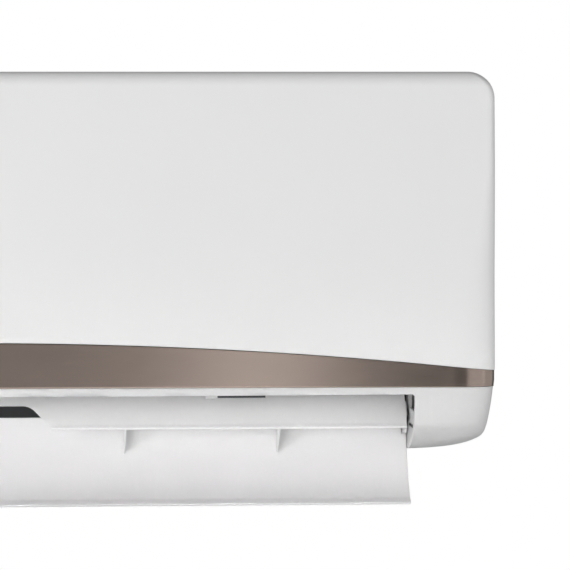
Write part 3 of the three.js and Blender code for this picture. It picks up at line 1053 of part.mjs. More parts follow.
// ---------------------------------------------------------------- wall plate
function wallPlate() {
  const t = PLATE_THICKNESS;
  const sheet = block(-PLATE_HALF_WIDTH, PLATE_HALF_WIDTH, 0, t, PLATE_BOTTOM, PLATE_TOP);
  const windows = [-195, -65, 65, 195].map((x) => block(x - 39, x + 39, -1, t + 1, 130, 196));
  const holes = [-240, 0, 240].flatMap((x) => [PLATE_TOP - 16, PLATE_BOTTOM + 16].map(
    (z) => rodDepth(3, -1, t + 1, x, z, 8)));
  const hook = (x) => joined([
    block(x - 12, x + 12, t - 0.3, CHASSIS_BACK - SEAT_GAP, PLATE_TOP - 4, PLATE_TOP - 2.4)]);
  const rib = block(-PLATE_HALF_WIDTH + 14, PLATE_HALF_WIDTH - 14, t - 0.3, 5, PLATE_BOTTOM + 30,
      PLATE_BOTTOM + 34);
  return joined([without(sheet, [...windows, ...holes]), hook(-220), hook(0), hook(220), rib]);
}

// ---------------------------------------------------------------- assembly
export function buildUnit() {
  const unit = new THREE.Group();
  const add = (name, solid, material) => {
    const mesh = new THREE.Mesh(geometryFrom(solid), material);
    mesh.name = name;
    unit.add(mesh);
  };

  add('wall_plate', wallPlate(), MATERIALS.steel);
  add('rear_chassis', rearChassis(), MATERIALS.innerPlastic);
  add('front_case', frontCase(), MATERIALS.shell);
  add('front_panel', frontPanel(), MATERIALS.shell);
  add('trim_band', trimBand(), MATERIALS.bronze);
  add('top_grille', topGrille(), MATERIALS.shell);
  add('filter_right', filterCassette(1), MATERIALS.darkPlastic);
  add('filter_left', filterCassette(-1), MATERIALS.darkPlastic);
  add('drain_pan', drainPan(), MATERIALS.foam);
  add('drain_plug', drainPlug(), MATERIALS.rubber);
  for (const [name, slab] of Object.entries(SLABS)) add(name, finSlab(slab), MATERIALS.fin);
  add('coil_plate_right', coilPlate(1, true), MATERIALS.copper);
  add('coil_plate_left', coilPlate(-1, false), MATERIALS.copper);
  add('gas_pipe', pipeRun(GAS_RUN, GAS_PIPE_RADIUS), MATERIALS.copper);
  add('liquid_pipe', pipeRun(LIQUID_RUN, LIQUID_PIPE_RADIUS), MATERIALS.copper);
  add('gas_flare_nut', flareNut(GAS_RUN, GAS_PIPE_RADIUS), MATERIALS.brass);
  add('liquid_flare_nut', flareNut(LIQUID_RUN, LIQUID_PIPE_RADIUS), MATERIALS.brass);
  add('cross_flow_fan', crossFlowFan(), MATERIALS.darkPlastic);
  add('fan_shaft', fanShaft(), MATERIALS.steel);
  add('fan_stub_shaft', fanStub(), MATERIALS.steel);
  add('fan_bearing', fanBearing(), MATERIALS.rubber);
  add('blower_motor', blowerMotor(), MATERIALS.steel);
  add('motor_clamp', motorClamp(), MATERIALS.innerPlastic);
  add('louver_flap', louverFlap(), MATERIALS.shell);
  add('louver_inner_blade', innerBlade(), MATERIALS.shell);
  add('louver_centre_support', centreSupport(), MATERIALS.innerPlastic);
  add('louver_motor', louverMotor(), MATERIALS.innerPlastic);
  add('vane_motor_right', vaneMotor(1), MATERIALS.innerPlastic);
  add('vane_motor_left', vaneMotor(-1), MATERIALS.innerPlastic);
  for (let i = 0; i < VANE_COUNT; i += 1) {
    const x = VANE_FIRST + VANE_PITCH * i;
    add(`vane_right_${i + 1}`, verticalVane(x), MATERIALS.innerPlastic);
    add(`vane_left_${i + 1}`, verticalVane(-x), MATERIALS.innerPlastic);
  }
  add('link_rod_right', linkRod(1), MATERIALS.innerPlastic);
  add('link_rod_left', linkRod(-1), MATERIALS.innerPlastic);
  add('electric_box', electricBox(), MATERIALS.innerPlastic);
  add('electric_cover', electricCover(), MATERIALS.innerPlastic);
  add('control_board', controlBoard(), MATERIALS.board);
  add('terminal_block', terminalBlock(), MATERIALS.darkPlastic);
  add('display_housing', displayHousing(), MATERIALS.innerPlastic);
  add('display_board', displayBoard(), MATERIALS.board);
  add('coil_sensor', coilSensor(), MATERIALS.copper);
  add('aux_button', auxButton(), MATERIALS.shell);
  return unit;
}

const plateCentre = (PLATE_BOTTOM + PLATE_TOP) / 2;
const model = buildUnit();
model.position.set(0, 0, -plateCentre);
export default model;
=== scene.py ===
import math

import bmesh
import bpy
from bpy.props import FloatProperty, FloatVectorProperty, PointerProperty
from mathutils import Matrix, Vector


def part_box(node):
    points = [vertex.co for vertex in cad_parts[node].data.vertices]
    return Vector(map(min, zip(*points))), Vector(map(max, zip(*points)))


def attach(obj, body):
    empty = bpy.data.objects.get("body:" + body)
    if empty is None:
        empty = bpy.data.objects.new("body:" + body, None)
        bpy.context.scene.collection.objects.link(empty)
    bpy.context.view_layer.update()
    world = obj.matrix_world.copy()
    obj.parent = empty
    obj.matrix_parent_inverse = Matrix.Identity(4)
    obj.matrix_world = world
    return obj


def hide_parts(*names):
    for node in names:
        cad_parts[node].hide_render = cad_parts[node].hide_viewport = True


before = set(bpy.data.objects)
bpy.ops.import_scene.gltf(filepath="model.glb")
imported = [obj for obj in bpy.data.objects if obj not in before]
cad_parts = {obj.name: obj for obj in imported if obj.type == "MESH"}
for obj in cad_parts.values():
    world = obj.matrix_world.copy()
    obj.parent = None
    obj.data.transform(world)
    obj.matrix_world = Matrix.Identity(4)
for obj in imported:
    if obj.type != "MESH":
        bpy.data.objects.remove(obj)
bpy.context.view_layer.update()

bl_info = {
    "name": "Split Indoor Unit Dresser",
    "version": (1, 0, 0),
    "blender": (4, 5, 0),
    "location": "View3D > Sidebar > Indoor Unit",
    "description": "Dresses the measured frame of a wall-hung indoor unit with its finished surfaces",
    "category": "Object",
}

# ------------------------------------------------------------------ sizes in metres
MM = 0.001

PANEL_LOW, PANEL_HIGH = (Vector(corner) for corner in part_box("front_panel"))
BODY_HALF = (PANEL_HIGH.x - PANEL_LOW.x) / 2
BODY_TOP = PANEL_HIGH.z
BODY_HEIGHT = 289 * MM
BODY_BASE = BODY_TOP - BODY_HEIGHT
BODY_DEPTH = 209 * MM
SMOOTH_ANGLE = math.radians(35)
MERGE_GAP = 1e-6


# ------------------------------------------------------------------ settings a user would change
class UnitShellSettings(bpy.types.PropertyGroup):
    """Sizes of the moulded casing."""

    step: FloatProperty(
        name="Case step", description="How far the case lies behind the panel's surface",
        default=0.0005, min=0, unit="LENGTH")
    panel_wall: FloatProperty(
        name="Panel wall", description="Thickness of the front panel", default=0.0023, min=0.001,
        unit="LENGTH")
    front_bow: FloatProperty(
        name="Front bow", description="How far the ends of the front fall back", default=0.008, unit="LENGTH")
    edge_round: FloatProperty(
        name="Edge radius", description="Rounding of the moulded edges", default=0.0006, min=0, unit="LENGTH")
    arc_middle: FloatProperty(
        name="Arc middle", description="Height of the panel's lower edge at the middle", default=0.0789,
        unit="LENGTH")
    arc_end: FloatProperty(
        name="Arc end", description="Height of the panel's lower edge at the ends", default=0.0546,
        unit="LENGTH")
    band_bottom: FloatProperty(
        name="Band bottom", description="Height of the band's lower edge", default=0.043, unit="LENGTH")


class UnitFinishSettings(bpy.types.PropertyGroup):
    """Colours and gloss of the finishes."""

    white: FloatVectorProperty(
        name="White", description="Moulded white of the casing", subtype="COLOR", size=3,
        default=(0.80, 0.80, 0.80))
    grey: FloatVectorProperty(
        name="Inner grey", description="Light grey of the inner mouldings", subtype="COLOR", size=3,
        default=(0.62, 0.63, 0.64))
    bronze: FloatVectorProperty(
        name="Bronze", description="Metallic bronze of the band", subtype="COLOR", size=3,
        default=(0.255, 0.206, 0.179))
    bronze_roughness: FloatProperty(
        name="Bronze roughness", description="How satin the band is", default=0.16, min=0, max=1,
        subtype="FACTOR")
    white_roughness: FloatProperty(
        name="White roughness", description="How satin the white is", default=0.38, min=0, max=1,
        subtype="FACTOR")


class UnitStageSettings(bpy.types.PropertyGroup):
    """Camera and lamps."""

    camera_distance: FloatProperty(
        name="Camera distance", description="From the front to the camera", default=3.4, unit="LENGTH")
    camera_height: FloatProperty(
        name="Camera height", description="Above the casing's underside", default=0.289, unit="LENGTH")
    aim_x: FloatProperty(name="Aim right", description="Where the camera looks", default=0.260, unit="LENGTH")
    aim_z: FloatProperty(
        name="Aim height", description="Where the camera looks, above the underside", default=0.123,
        unit="LENGTH")
    focal_pixels: FloatProperty(
        name="Focal length in pixels", description="Focal length measured in pixels of the square picture",
        default=4382.0)
    key_power: FloatProperty(name="Key power", description="Lamp at the left, in watts", default=30.0)
    low_power: FloatProperty(name="Low power", description="Low lamp in front, in watts", default=15.0)
    louver_power: FloatProperty(
        name="Louver power", description="Narrow beam on the open louver, in watts", default=0.155)
    side_power: FloatProperty(name="Side power", description="Broad card at the right, in watts", default=7.5)
    strip_power: FloatProperty(
        name="Strip power", description="Narrow card that the band reflects, in watts", default=2.5)
    top_power: FloatProperty(name="Top power", description="Broad card overhead, in watts", default=3.0)
    floor_power: FloatProperty(name="Floor power", description="Card low in front, in watts", default=5.0)
    world_light: FloatProperty(name="Surrounding light", description="Light from all round", default=0.22)


PICTURE_PIXELS = 570
SENSOR_MM = 36.0
SIDE_TAIL_SHARE = 0.65
STRIP_TAIL_SHARE = 0.4
LOUVER_SPREAD = math.radians(7)
FLOOR_DROP = 0.9


def settings():
    return bpy.context.scene.indoor_unit


def shell_mm(name):
    """A casing setting in millimetres."""
    return round(getattr(settings().shell, name) / MM, 4)


# ------------------------------------------------------------------ mesh helpers
def deselect():
    if bpy.context.object and bpy.context.object.mode != "OBJECT":
        bpy.ops.object.mode_set(mode="OBJECT")
    bpy.ops.object.select_all(action="DESELECT")


def finish_piece(obj, name, body, slot, material, *replaced):
    """Names a piece, bakes its place into its mesh and hands it to the frame."""
    deselect()
    bpy.context.view_layer.objects.active = obj
    obj.select_set(True)
    bpy.ops.object.transform_apply(location=True, rotation=True, scale=True)
    obj.name = name
    obj.data.name = name
    obj.data.materials.clear()
    obj.data.materials.append(material)
    bpy.ops.object.shade_smooth_by_angle(angle=SMOOTH_ANGLE)
    for modifier in list(obj.modifiers):
        bpy.ops.object.modifier_apply(modifier=modifier.name)
    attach(obj, body)
    if replaced:
        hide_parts(*replaced)
    obj.select_set(False)
    return obj


def apply_modifier(obj, kind, **values):
    """Adds a modifier with the given values and applies it."""
    bpy.context.view_layer.objects.active = obj
    modifier = obj.modifiers.new(kind.title(), kind)
    for key, value in values.items():
        setattr(modifier, key, value)
    bpy.ops.object.modifier_apply(modifier=modifier.name)
    return obj


def bevel_edges(obj, width, segments, angle):
    """Rounds the edges sharper than an angle in degrees by a width in millimetres."""
    return apply_modifier(obj, "BEVEL", width=width * MM, segments=segments, limit_method="ANGLE",
                          angle_limit=math.radians(angle))


def block(x0, x1, d0, d1, z0, z1):
    """A box between sides, depths in front of the wall and heights above the underside, in millimetres."""
    deselect()
    low = (x0 * MM, -d1 * MM, BODY_BASE + z0 * MM)
    high = (x1 * MM, -d0 * MM, BODY_BASE + z1 * MM)
    bpy.ops.mesh.primitive_cube_add(size=1, location=[(a + b) / 2 for a, b in zip(low, high)])
    obj = bpy.context.object
    obj.scale = [b - a for a, b in zip(low, high)]
    bpy.ops.object.transform_apply(location=True, rotation=True, scale=True)
    return obj


def cut(obj, *cutters):
    """Cuts each of the cutters out of the piece and removes them."""
    for cutter in cutters:
        apply_modifier(obj, "BOOLEAN", object=cutter, operation="DIFFERENCE", solver="EXACT")
        bpy.data.objects.remove(cutter, do_unlink=True)
    return obj


def join(objects):
    deselect()
    for obj in objects:
        obj.select_set(True)
    bpy.context.view_layer.objects.active = objects[0]
    bpy.ops.object.join()
    return bpy.context.object


def grid_sheet(columns, rows, place):
    """A grid primitive whose points are moved to place(u, v), with u and v from 0 to 1."""
    deselect()
    bpy.ops.mesh.primitive_grid_add(x_subdivisions=columns, y_subdivisions=rows, size=2)
    obj = bpy.context.object
    for vertex in obj.data.vertices:
        vertex.co = place((vertex.co.x + 1) / 2, (vertex.co.y + 1) / 2)
    obj.data.update()
    return obj


def recalc(obj):
    """Merges double points and turns the faces outward."""
    deselect()
    bpy.context.view_layer.objects.active = obj
    obj.select_set(True)
    bpy.ops.object.mode_set(mode="EDIT")
    bpy.ops.mesh.select_all(action="SELECT")
    bpy.ops.mesh.remove_doubles(threshold=MERGE_GAP)
    bpy.ops.mesh.normals_make_consistent(inside=False)
    bpy.ops.object.mode_set(mode="OBJECT")
    return obj


def lathe_x(profile, x_axis_d, z, segments=48):
    """Spins a list of (x, radius) points, in millimetres, round a line along X."""
    deselect()
    mesh = bpy.data.meshes.new("Profile")
    points = [(x * MM, 0, r * MM) for x, r in profile]
    mesh.from_pydata(points, [(i, i + 1) for i in range(len(profile) - 1)], [])
    obj = bpy.data.objects.new("Profile", mesh)
    bpy.context.collection.objects.link(obj)
    bpy.context.view_layer.objects.active = obj
    obj.select_set(True)
    bpy.ops.object.mode_set(mode="EDIT")
    bpy.ops.mesh.select_all(action="SELECT")
    bpy.ops.mesh.spin(steps=segments, angle=math.tau, center=(0, 0, 0), axis=(1, 0, 0))
    bpy.ops.object.mode_set(mode="OBJECT")
    recalc(obj)
    obj.location = (0, -x_axis_d * MM, BODY_BASE + z * MM)
    bpy.ops.object.transform_apply(location=True, rotation=False, scale=False)
    return obj


# ------------------------------------------------------------------ the casing's form, in millimetres
CASE_DEPTH = round(BODY_DEPTH / MM, 4)
TOP_DEPTH = 198.0
HEIGHT = round(BODY_HEIGHT / MM, 4)
FORM_BASE = -12.0
HALF = BODY_HALF / MM
TOP_CORNER = 21.0
TOP_EDGE = 11.0
CHIN_HEIGHT = 40.0
CHIN_REACH = 74.0
CHIN_POWER = 2.12
FRONT_CURVE = 1.6
SIDE_DRAFT = 1.2
SIDE_FULL_HEIGHT = 60.0
CORNER_FADE = 170.0
TOP_ACROSS, LOWER_ACROSS = 6.0, 36.0
TOP_BACK, LOWER_BACK = 8.0, 18.0
FRONT_SHARE, CORNER_SHARE = 0.62, 0.86
PANEL_SIDE_EDGE = 186.5
PANEL_TOP_EDGE = 181.5
SWEEP_FRONT = 177.0
HINGE = (185.0, 283.0)
HINGE_X = HALF - 93.0
EAR_RADIUS = 3.3
EAR_GAP = 2.3
EAR_WIDTH = 4.0
STEM_BACK = 167.0
ARM_HALF = 2.0
PIN_RADIUS = 1.6
PIN_HALF = 6.2


def band_low(x):
    """Height of the band's lower edge."""
    return shell_mm("band_bottom") - BAND_SAG * (x / HALF) ** 2


def smooth_step(t):
    """Eases from 0 to 1 as t goes from 0 to 1."""
    t = min(max(t, 0.0), 1.0)
    return t * t * (3 - 2 * t)


def front_depth(z):
    """Depth of the front at the middle, at a height above the underside."""
    if z < CHIN_HEIGHT:
        drop = min((CHIN_HEIGHT - z) / (CHIN_HEIGHT - FORM_BASE), 1.0)
        return CASE_DEPTH - CHIN_REACH * (1 - (1 - drop**CHIN_POWER) ** (1 / CHIN_POWER))
    edge = HEIGHT - TOP_EDGE
    if z > edge:
        rise = min(z - edge, TOP_EDGE)
        return TOP_DEPTH - TOP_EDGE + math.sqrt(max(TOP_EDGE**2 - rise**2, 0.0))
    return CASE_DEPTH - (CASE_DEPTH - TOP_DEPTH) * ((z - CHIN_HEIGHT) / (edge - CHIN_HEIGHT)) ** FRONT_CURVE


# The lower corners' outline, as three curves through (height, half width) points.
CORNER_CURVES = (((FORM_BASE, HALF - 66.9), (-11.6, HALF - 25.8), (-1.6, HALF - 11.5)),
                 ((-1.6, HALF - 11.5), (0.6, HALF - 7.0), (6.1, HALF - 6.0)),
                 ((6.1, HALF - 6.0), (25.8, HALF - 2.0), (47.0, HALF)))


def quadratic(start, control, end, t):
    """A point of the curve from start to end that leans toward control."""
    return tuple((1 - t) ** 2 * a + 2 * t * (1 - t) * c + t * t * b for a, c, b in zip(start, control, end))


CURVE_STEPS = 8
LOWER_SIDE = [quadratic(*curve, i / CURVE_STEPS) for curve in CORNER_CURVES for i in range(CURVE_STEPS + 1)]
LOWER_SIDE.append((SIDE_FULL_HEIGHT, HALF))


def half_width(z):
    """Half the casing's width at a height."""
    corner = HEIGHT - TOP_CORNER
    top = HALF - SIDE_DRAFT
    if z > corner:
        rise = min(z - corner, TOP_CORNER)
        return top - TOP_CORNER + math.sqrt(max(TOP_CORNER**2 - rise**2, 0.0))
    if z >= LOWER_SIDE[-1][0]:
        return HALF - SIDE_DRAFT * (z - SIDE_FULL_HEIGHT) / (corner - SIDE_FULL_HEIGHT)
    for (z0, w0), (z1, w1) in zip(LOWER_SIDE, LOWER_SIDE[1:]):
        if z0 <= z <= z1 and z1 > z0:
            return w0 + (w1 - w0) * (z - z0) / (z1 - z0)
    return HALF


def corner_radii(z):
    """Plan radii of the front corners: tight near the top, broad toward the chin."""
    lower = 1 - smooth_step((z - SIDE_FULL_HEIGHT) / CORNER_FADE)
    return TOP_ACROSS + (LOWER_ACROSS - TOP_ACROSS) * lower, TOP_BACK + (LOWER_BACK - TOP_BACK) * lower


def section_point(s, z, inset, rear):
    """A point of the level outline at height z: s runs from 0 at the middle to 1 at the rear of the side."""
    width = half_width(z) - inset
    front = front_depth(z) - inset
    fall = (front_depth(min(z, HEIGHT - TOP_EDGE)) - TOP_DEPTH) / (CASE_DEPTH - TOP_DEPTH)
    bow = max(shell_mm("front_bow") * fall, 0.0)
    across, back = corner_radii(z)
    across = min(across, width * 0.5)
    straight = width - across
    if s <= FRONT_SHARE:
        x = straight * (s / FRONT_SHARE)
        return x, front - bow * (x / HALF) ** 2
    bow_end = front - bow * (straight / HALF) ** 2
    back = min(back, max(bow_end - rear - 0.2, 0.1))
    if s <= CORNER_SHARE:
        angle = (s - FRONT_SHARE) / (CORNER_SHARE - FRONT_SHARE) * math.pi / 2
        return straight + across * math.sin(angle), bow_end - back * (1 - math.cos(angle))
    return width, bow_end - back - (bow_end - back - rear) * (s - CORNER_SHARE) / (1 - CORNER_SHARE)


def outline_place(u, z, inset, rear):
    """The full outline: u from 0 at the left rear to 1 at the right rear."""
    side = 2 * u - 1
    x, d = section_point(abs(side), z, inset, rear)
    return Vector((math.copysign(x, side) * MM, -d * MM, BODY_BASE + z * MM))


def arc_height(x):
    """Height of the panel's lower edge at a distance from the middle."""
    middle, end = shell_mm("arc_middle"), shell_mm("arc_end")
    rise = middle - end
    radius = (HALF**2 + rise**2) / (2 * rise)
    return middle - radius + math.sqrt(radius**2 - min(abs(x), HALF) ** 2)


# ------------------------------------------------------------------ materials
def new_material(name):
    material = bpy.data.materials.new(name)
    material.use_nodes = True
    nodes = material.node_tree.nodes
    links = material.node_tree.links
    shader = next(n for n in nodes if n.type == "BSDF_PRINCIPLED")
    return material, nodes, links, shader


def object_mapping(nodes, links, scale):
    """Object coordinates through a mapping with the given scale."""
    coordinate = nodes.new("ShaderNodeTexCoord")
    mapping = nodes.new("ShaderNodeMapping")
    mapping.inputs["Scale"].default_value = scale
    links.new(coordinate.outputs["Object"], mapping.inputs["Vector"])
    return mapping


def add_noise(nodes, links, vector, scale, detail=3.0, roughness=0.5):
    noise = nodes.new("ShaderNodeTexNoise")
    noise.inputs["Scale"].default_value = scale
    noise.inputs["Detail"].default_value = detail
    noise.inputs["Roughness"].default_value = roughness
    links.new(vector.outputs["Vector"], noise.inputs["Vector"])
    return noise


def colour_between(nodes, links, factor, first, second, low=0.35, high=0.65):
    """A colour ramp from the first to the second colour."""
    ramp = nodes.new("ShaderNodeValToRGB")
    ramp.color_ramp.elements[0].position = low
    ramp.color_ramp.elements[1].position = high
    ramp.color_ramp.elements[0].color = (*first, 1)
    ramp.color_ramp.elements[1].color = (*second, 1)
    links.new(factor, ramp.inputs["Fac"])
    return ramp


def roughness_between(nodes, links, factor, low, high):
    spread = nodes.new("ShaderNodeMapRange")
    spread.inputs["To Min"].default_value = low
    spread.inputs["To Max"].default_value = high
    links.new(factor, spread.inputs["Value"])
    return spread


def add_bump(nodes, links, height, strength, distance):
    bump = nodes.new("ShaderNodeBump")
    bump.inputs["Strength"].default_value = strength
    bump.inputs["Distance"].default_value = distance
    links.new(height, bump.inputs["Height"])
    return bump


def shade(colour, factor):
    return tuple(channel * factor for channel in colour)


def moulded(name, colour, roughness, grain=900.0, bump=0.04, tone=0.985):
    """Moulded plastic: a faint flow of tone, a fine spark-eroded grain and an uneven gloss."""
    material, nodes, links, shader = new_material(name)
    mapping = object_mapping(nodes, links, (1, 1, 1))
    flow = add_noise(nodes, links, mapping, 5.0, 2.0)
    ramp = colour_between(nodes, links, flow.outputs["Fac"], shade(colour, tone), colour)
    links.new(ramp.outputs["Color"], shader.inputs["Base Color"])
    smudge = add_noise(nodes, links, mapping, 30.0, 4.0)
    gloss = roughness_between(nodes, links, smudge.outputs["Fac"], roughness - 0.03, roughness + 0.03)
    links.new(gloss.outputs["Result"], shader.inputs["Roughness"])
    texture = add_noise(nodes, links, mapping, grain, 2.0)
    relief = add_bump(nodes, links, texture.outputs["Fac"], bump, 0.0002)
    links.new(relief.outputs["Normal"], shader.inputs["Normal"])
    return material


def metal(name, colour, roughness, stretch=(1, 1, 1), grain=400.0, bump=0.05, metallic=1.0, tone=0.85):
    """Metal with a directional grain."""
    material, nodes, links, shader = new_material(name)
    shader.inputs["Metallic"].default_value = metallic
    mapping = object_mapping(nodes, links, stretch)
    lines = add_noise(nodes, links, mapping, grain, 4.0, 0.6)
    ramp = colour_between(nodes, links, lines.outputs["Fac"], shade(colour, tone), colour)
    links.new(ramp.outputs["Color"], shader.inputs["Base Color"])
    gloss = roughness_between(nodes, links, lines.outputs["Fac"], roughness - 0.05, roughness + 0.06)
    links.new(gloss.outputs["Result"], shader.inputs["Roughness"])
    relief = add_bump(nodes, links, lines.outputs["Fac"], bump, 0.0002)
    links.new(relief.outputs["Normal"], shader.inputs["Normal"])
    return material


def fin_metal():
    """Coated fins: fine dark lines a fin pitch apart, painted shade in the gaps between the fins, across the
    length of the coil.
    """
    material, nodes, links, shader = new_material("Coated Fins")
    shader.inputs["Metallic"].default_value = 0.85
    shader.inputs["Roughness"].default_value = 0.38
    mapping = object_mapping(nodes, links, (1, 0.0001, 0.0001))
    wave = nodes.new("ShaderNodeTexWave")
    wave.bands_direction = "X"
    wave.inputs["Scale"].default_value = 230.0
    links.new(mapping.outputs["Vector"], wave.inputs["Vector"])
    # the near-black end of the ramp is painted shade in the gaps between the fins
    ramp = colour_between(nodes, links, wave.outputs["Fac"], (0.04, 0.05, 0.06), (0.55, 0.62, 0.66), 0.2, 0.6)
    links.new(ramp.outputs["Color"], shader.inputs["Base Color"])
    relief = add_bump(nodes, links, wave.outputs["Fac"], 0.6, 0.0008)
    links.new(relief.outputs["Normal"], shader.inputs["Normal"])
    return material


def make_materials():
    finish = settings().finish
    white, grey, bronze = tuple(finish.white), tuple(finish.grey), tuple(finish.bronze)
    return {
        "white": moulded("Moulded White", white, finish.white_roughness),
        # the case's white is a darker copy of the panel's white: painted shade for the lip and the end caps
        "case_white_painted_shade": moulded("Cover White Painted Shade", shade(white, 0.83), finish.white_roughness),
        "white_louver": moulded("Louver White", white, finish.white_roughness + 0.08),
        # the blade's white is a brighter copy of the panel's white: painted light to make up for the shade
        # under the lip
        "blade_white_painted_light": moulded("Blade White Painted Light", shade(white, 1.16), finish.white_roughness + 0.08),
        # the chassis is darkened to near black as painted shade, for the shaded duct seen through the
        # louver's notch
        "chassis": moulded("Chassis Painted Shade Grey", (0.1, 0.102, 0.105), 0.5, bump=0.08, tone=0.9),
        "inner": moulded("Inner Moulding", grey, 0.5, bump=0.08, tone=0.95),
        "bronze": metal("Bronze Band", bronze, finish.bronze_roughness, (0.02, 1, 1), 900.0, 0.03, 0.9, 0.93),
        # black of the fan and terminal block; the same black is painted shade on the outlet cheeks and under
        # the lip
        "black": moulded("Black Moulding And Painted Shade", (0.018, 0.019, 0.021), 0.45, bump=0.1, tone=0.7),
        "vane": moulded("Vane Grey", (0.075, 0.077, 0.08), 0.4, bump=0.1, tone=0.8),
        "filter": moulded("Filter Grey", (0.16, 0.17, 0.185), 0.55, bump=0.1, tone=0.85),
        "fins": fin_metal(),
        "copper": metal("Copper", (0.62, 0.30, 0.19), 0.3, (1, 1, 1), 60.0, 0.05, 1.0, 0.6),
        "brass": metal("Brass", (0.60, 0.46, 0.22), 0.28, (1, 1, 1), 200.0, 0.05, 1.0, 0.8),
        "steel": metal("Zinc Coated Steel", (0.50, 0.52, 0.53), 0.38, (1, 1, 1), 45.0, 0.05, 1.0, 0.78),
        "rubber": moulded("Rubber", (0.02, 0.02, 0.021), 0.8, bump=0.15, tone=0.7),
        "board": moulded("Circuit Board", (0.02, 0.13, 0.06), 0.4, bump=0.1, tone=0.6),
        "foam": moulded("Foam Lined Moulding", (0.74, 0.74, 0.72), 0.8, grain=500.0, bump=0.3, tone=0.93),
    }


MATERIALS = {}


# ------------------------------------------------------------------ pieces of the casing
PANEL_COLUMNS = 220
PANEL_ROWS = 70
FORM_COLUMNS = 160
GUESS_HEIGHT = 90.0
FLAT_SHARE, ROUND_SHARE = 0.5, 0.96
TOP_GAP = 0.01
FAR_SIDE, FAR_FRONT, FAR_REAR = 440.0, 230.0, -5.0
FAR_BELOW, FAR_ABOVE = -40.0, 300.0
BAND_WALL = 1.9
BAND_GAP = 0.3
BAND_EDGE = 0.3
BAND_SAG = 1.2
CAP_WALL = 2.2
CAP_BACK = 134.6
CAP_TOP = 46.0
CAP_FLOOR = 3.0
CAP_REAR_WALL = 2.4
LIP_BOTTOM = 36.5
OUTLET_HALF = 362.6
OUTLET_ROUND = 2.2
CASE_BACK = 12.0
HOLLOW_BACK = 2.0
HOLLOW_INSET = 4.6
SEAT_DEPTH = 2.4
SEAT_SIDE_GAP = 0.3
SEAT_LOW_GAP = 0.25
SEAT_TOP = 276.0
SWEEP_BASE = 275.7
UNDERSIDE_TOP = 8.0
INLET_HALF, INLET_BACK, INLET_FRONT, INLET_BASE = 372.0, 26.0, 166.0, 262.0
REAR_HALF, REAR_FRONT, REAR_BASE, REAR_TOP = 412.0, 14.0, 8.0, 284.0
FRAME_SPANS = ((-371, -190), (-184, -3), (3, 184), (190, 371))
FRAME_BACK, FRAME_BASE, FRAME_TOP, FRAME_ROUND = 170.0, 100.0, 266.0, 4.0
CAP_ROUND, LIP_ROUND, SMALL_ROUND = 1.3, 0.8, 0.35
BEVEL_FROM = math.radians(40)
# Openings at the outlet's ends and the black cheeks behind them, painted shade seen through the openings:
# from and to in depth, low and high.
POCKETS = ((158.0, 198.0, 23.0, 35.0), (158.0, 187.0, 8.8, 11.4))
CHEEKS = ((156.0, 200.0, 20.0, 38.0), (156.0, 188.0, 6.0, 15.0))
CHEEK_GAP, CHEEK_WALL = 0.4, 1.0
# The catch under the lip, a black block of painted shadow beside a white clip: from and to across, in depth
# and in height.
LIP_SHADOW_BLOCK = (208.5, 246.0, 186.0, 192.0, 33.8, 37.0)
LIP_CLIP = (198.7, 208.0, 186.0, 194.0, 33.4, 37.0)
CLIP_ROUND = 0.5


def surface_sheet(name, low, high, inset, side_edge, wall, rows=24):
    """A strip of the casing's surface between two heights at each x, thickened inward."""

    def place(u, v):
        guess = outline_place(u, GUESS_HEIGHT, inset, side_edge).x / MM
        z0, z1 = low(guess), high(guess)
        return outline_place(u, z0 + (z1 - z0) * v, inset, side_edge)

    obj = grid_sheet(PANEL_COLUMNS, rows, place)
    obj.name = name
    recalc(obj)
    apply_modifier(obj, "SOLIDIFY", thickness=wall * MM, offset=-1.0, use_even_offset=False)
    return obj


def upper_sheet(name, inset, side_edge, top_edge, wall):
    """The surface above the arc, over the upper corners and back along the top, thickened inward."""
    flat_top = HEIGHT - TOP_CORNER
    top = HEIGHT - TOP_GAP

    def place(u, v):
        low = arc_height(outline_place(u, GUESS_HEIGHT, inset, side_edge).x / MM)
        if v < FLAT_SHARE:
            z = low + (flat_top - low) * (v / FLAT_SHARE)
        elif v < ROUND_SHARE:
            turn = (v - FLAT_SHARE) / (ROUND_SHARE - FLAT_SHARE) * math.pi / 2
            z = flat_top + (top - flat_top) * math.sin(turn)
        else:
            z = top
        point = outline_place(u, z, inset, side_edge)
        if v > ROUND_SHARE:
            share = (v - ROUND_SHARE) / (1 - ROUND_SHARE)
            front = -point.y / MM
            point.y = -(front + (min(top_edge, front) - front) * share) * MM
        return point

    obj = grid_sheet(PANEL_COLUMNS, PANEL_ROWS, place)
    obj.name = name
    recalc(obj)
    apply_modifier(obj, "SOLIDIFY", thickness=wall * MM, offset=-1.0, use_even_offset=False)
    return obj


def ring_body(name, rings):
    """A closed body through rings of equally many points, with flat ends."""
    count = len(rings[0])
    deselect()
    bpy.ops.mesh.primitive_circle_add(vertices=count, radius=1, fill_type="NGON")
    obj = bpy.context.object
    obj.name = name
    mesh = bmesh.new()
    mesh.from_mesh(obj.data)
    mesh.verts.ensure_lookup_table()
    for vertex, place in zip(mesh.verts, rings[0]):
        vertex.co = place
    last = list(mesh.verts)
    for ring in rings[1:]:
        fresh = [mesh.verts.new(place) for place in ring]
        for i in range(count):
            j = (i + 1) % count
            mesh.faces.new([last[i], last[j], fresh[j], fresh[i]])
        last = fresh
    mesh.faces.new(list(reversed(last)))
    bmesh.ops.recalc_face_normals(mesh, faces=mesh.faces)
    mesh.to_mesh(obj.data)
    mesh.free()
    return obj


# Heights of the form's rings, closer together where its outline turns.
FORM_LEVELS = (-12.0, -11.7, -11.2, -10.4, -9.3, -8.0, -6.5, -4.8, -3.0, -1.1, 1.0, 3.2, 5.4, 7.8, 10.6,
               13.8, 17.2, 20.8, 24.4, 28.2, 32.0, 36.0, 40.0, 48.0, 60.0, 90.0, 130.0, 170.0, 210.0,
               240.0, 268.0, 272.0, 276.0, 279.0, 281.5, 283.5, 285.5, 287.0, 288.2, 289.0)


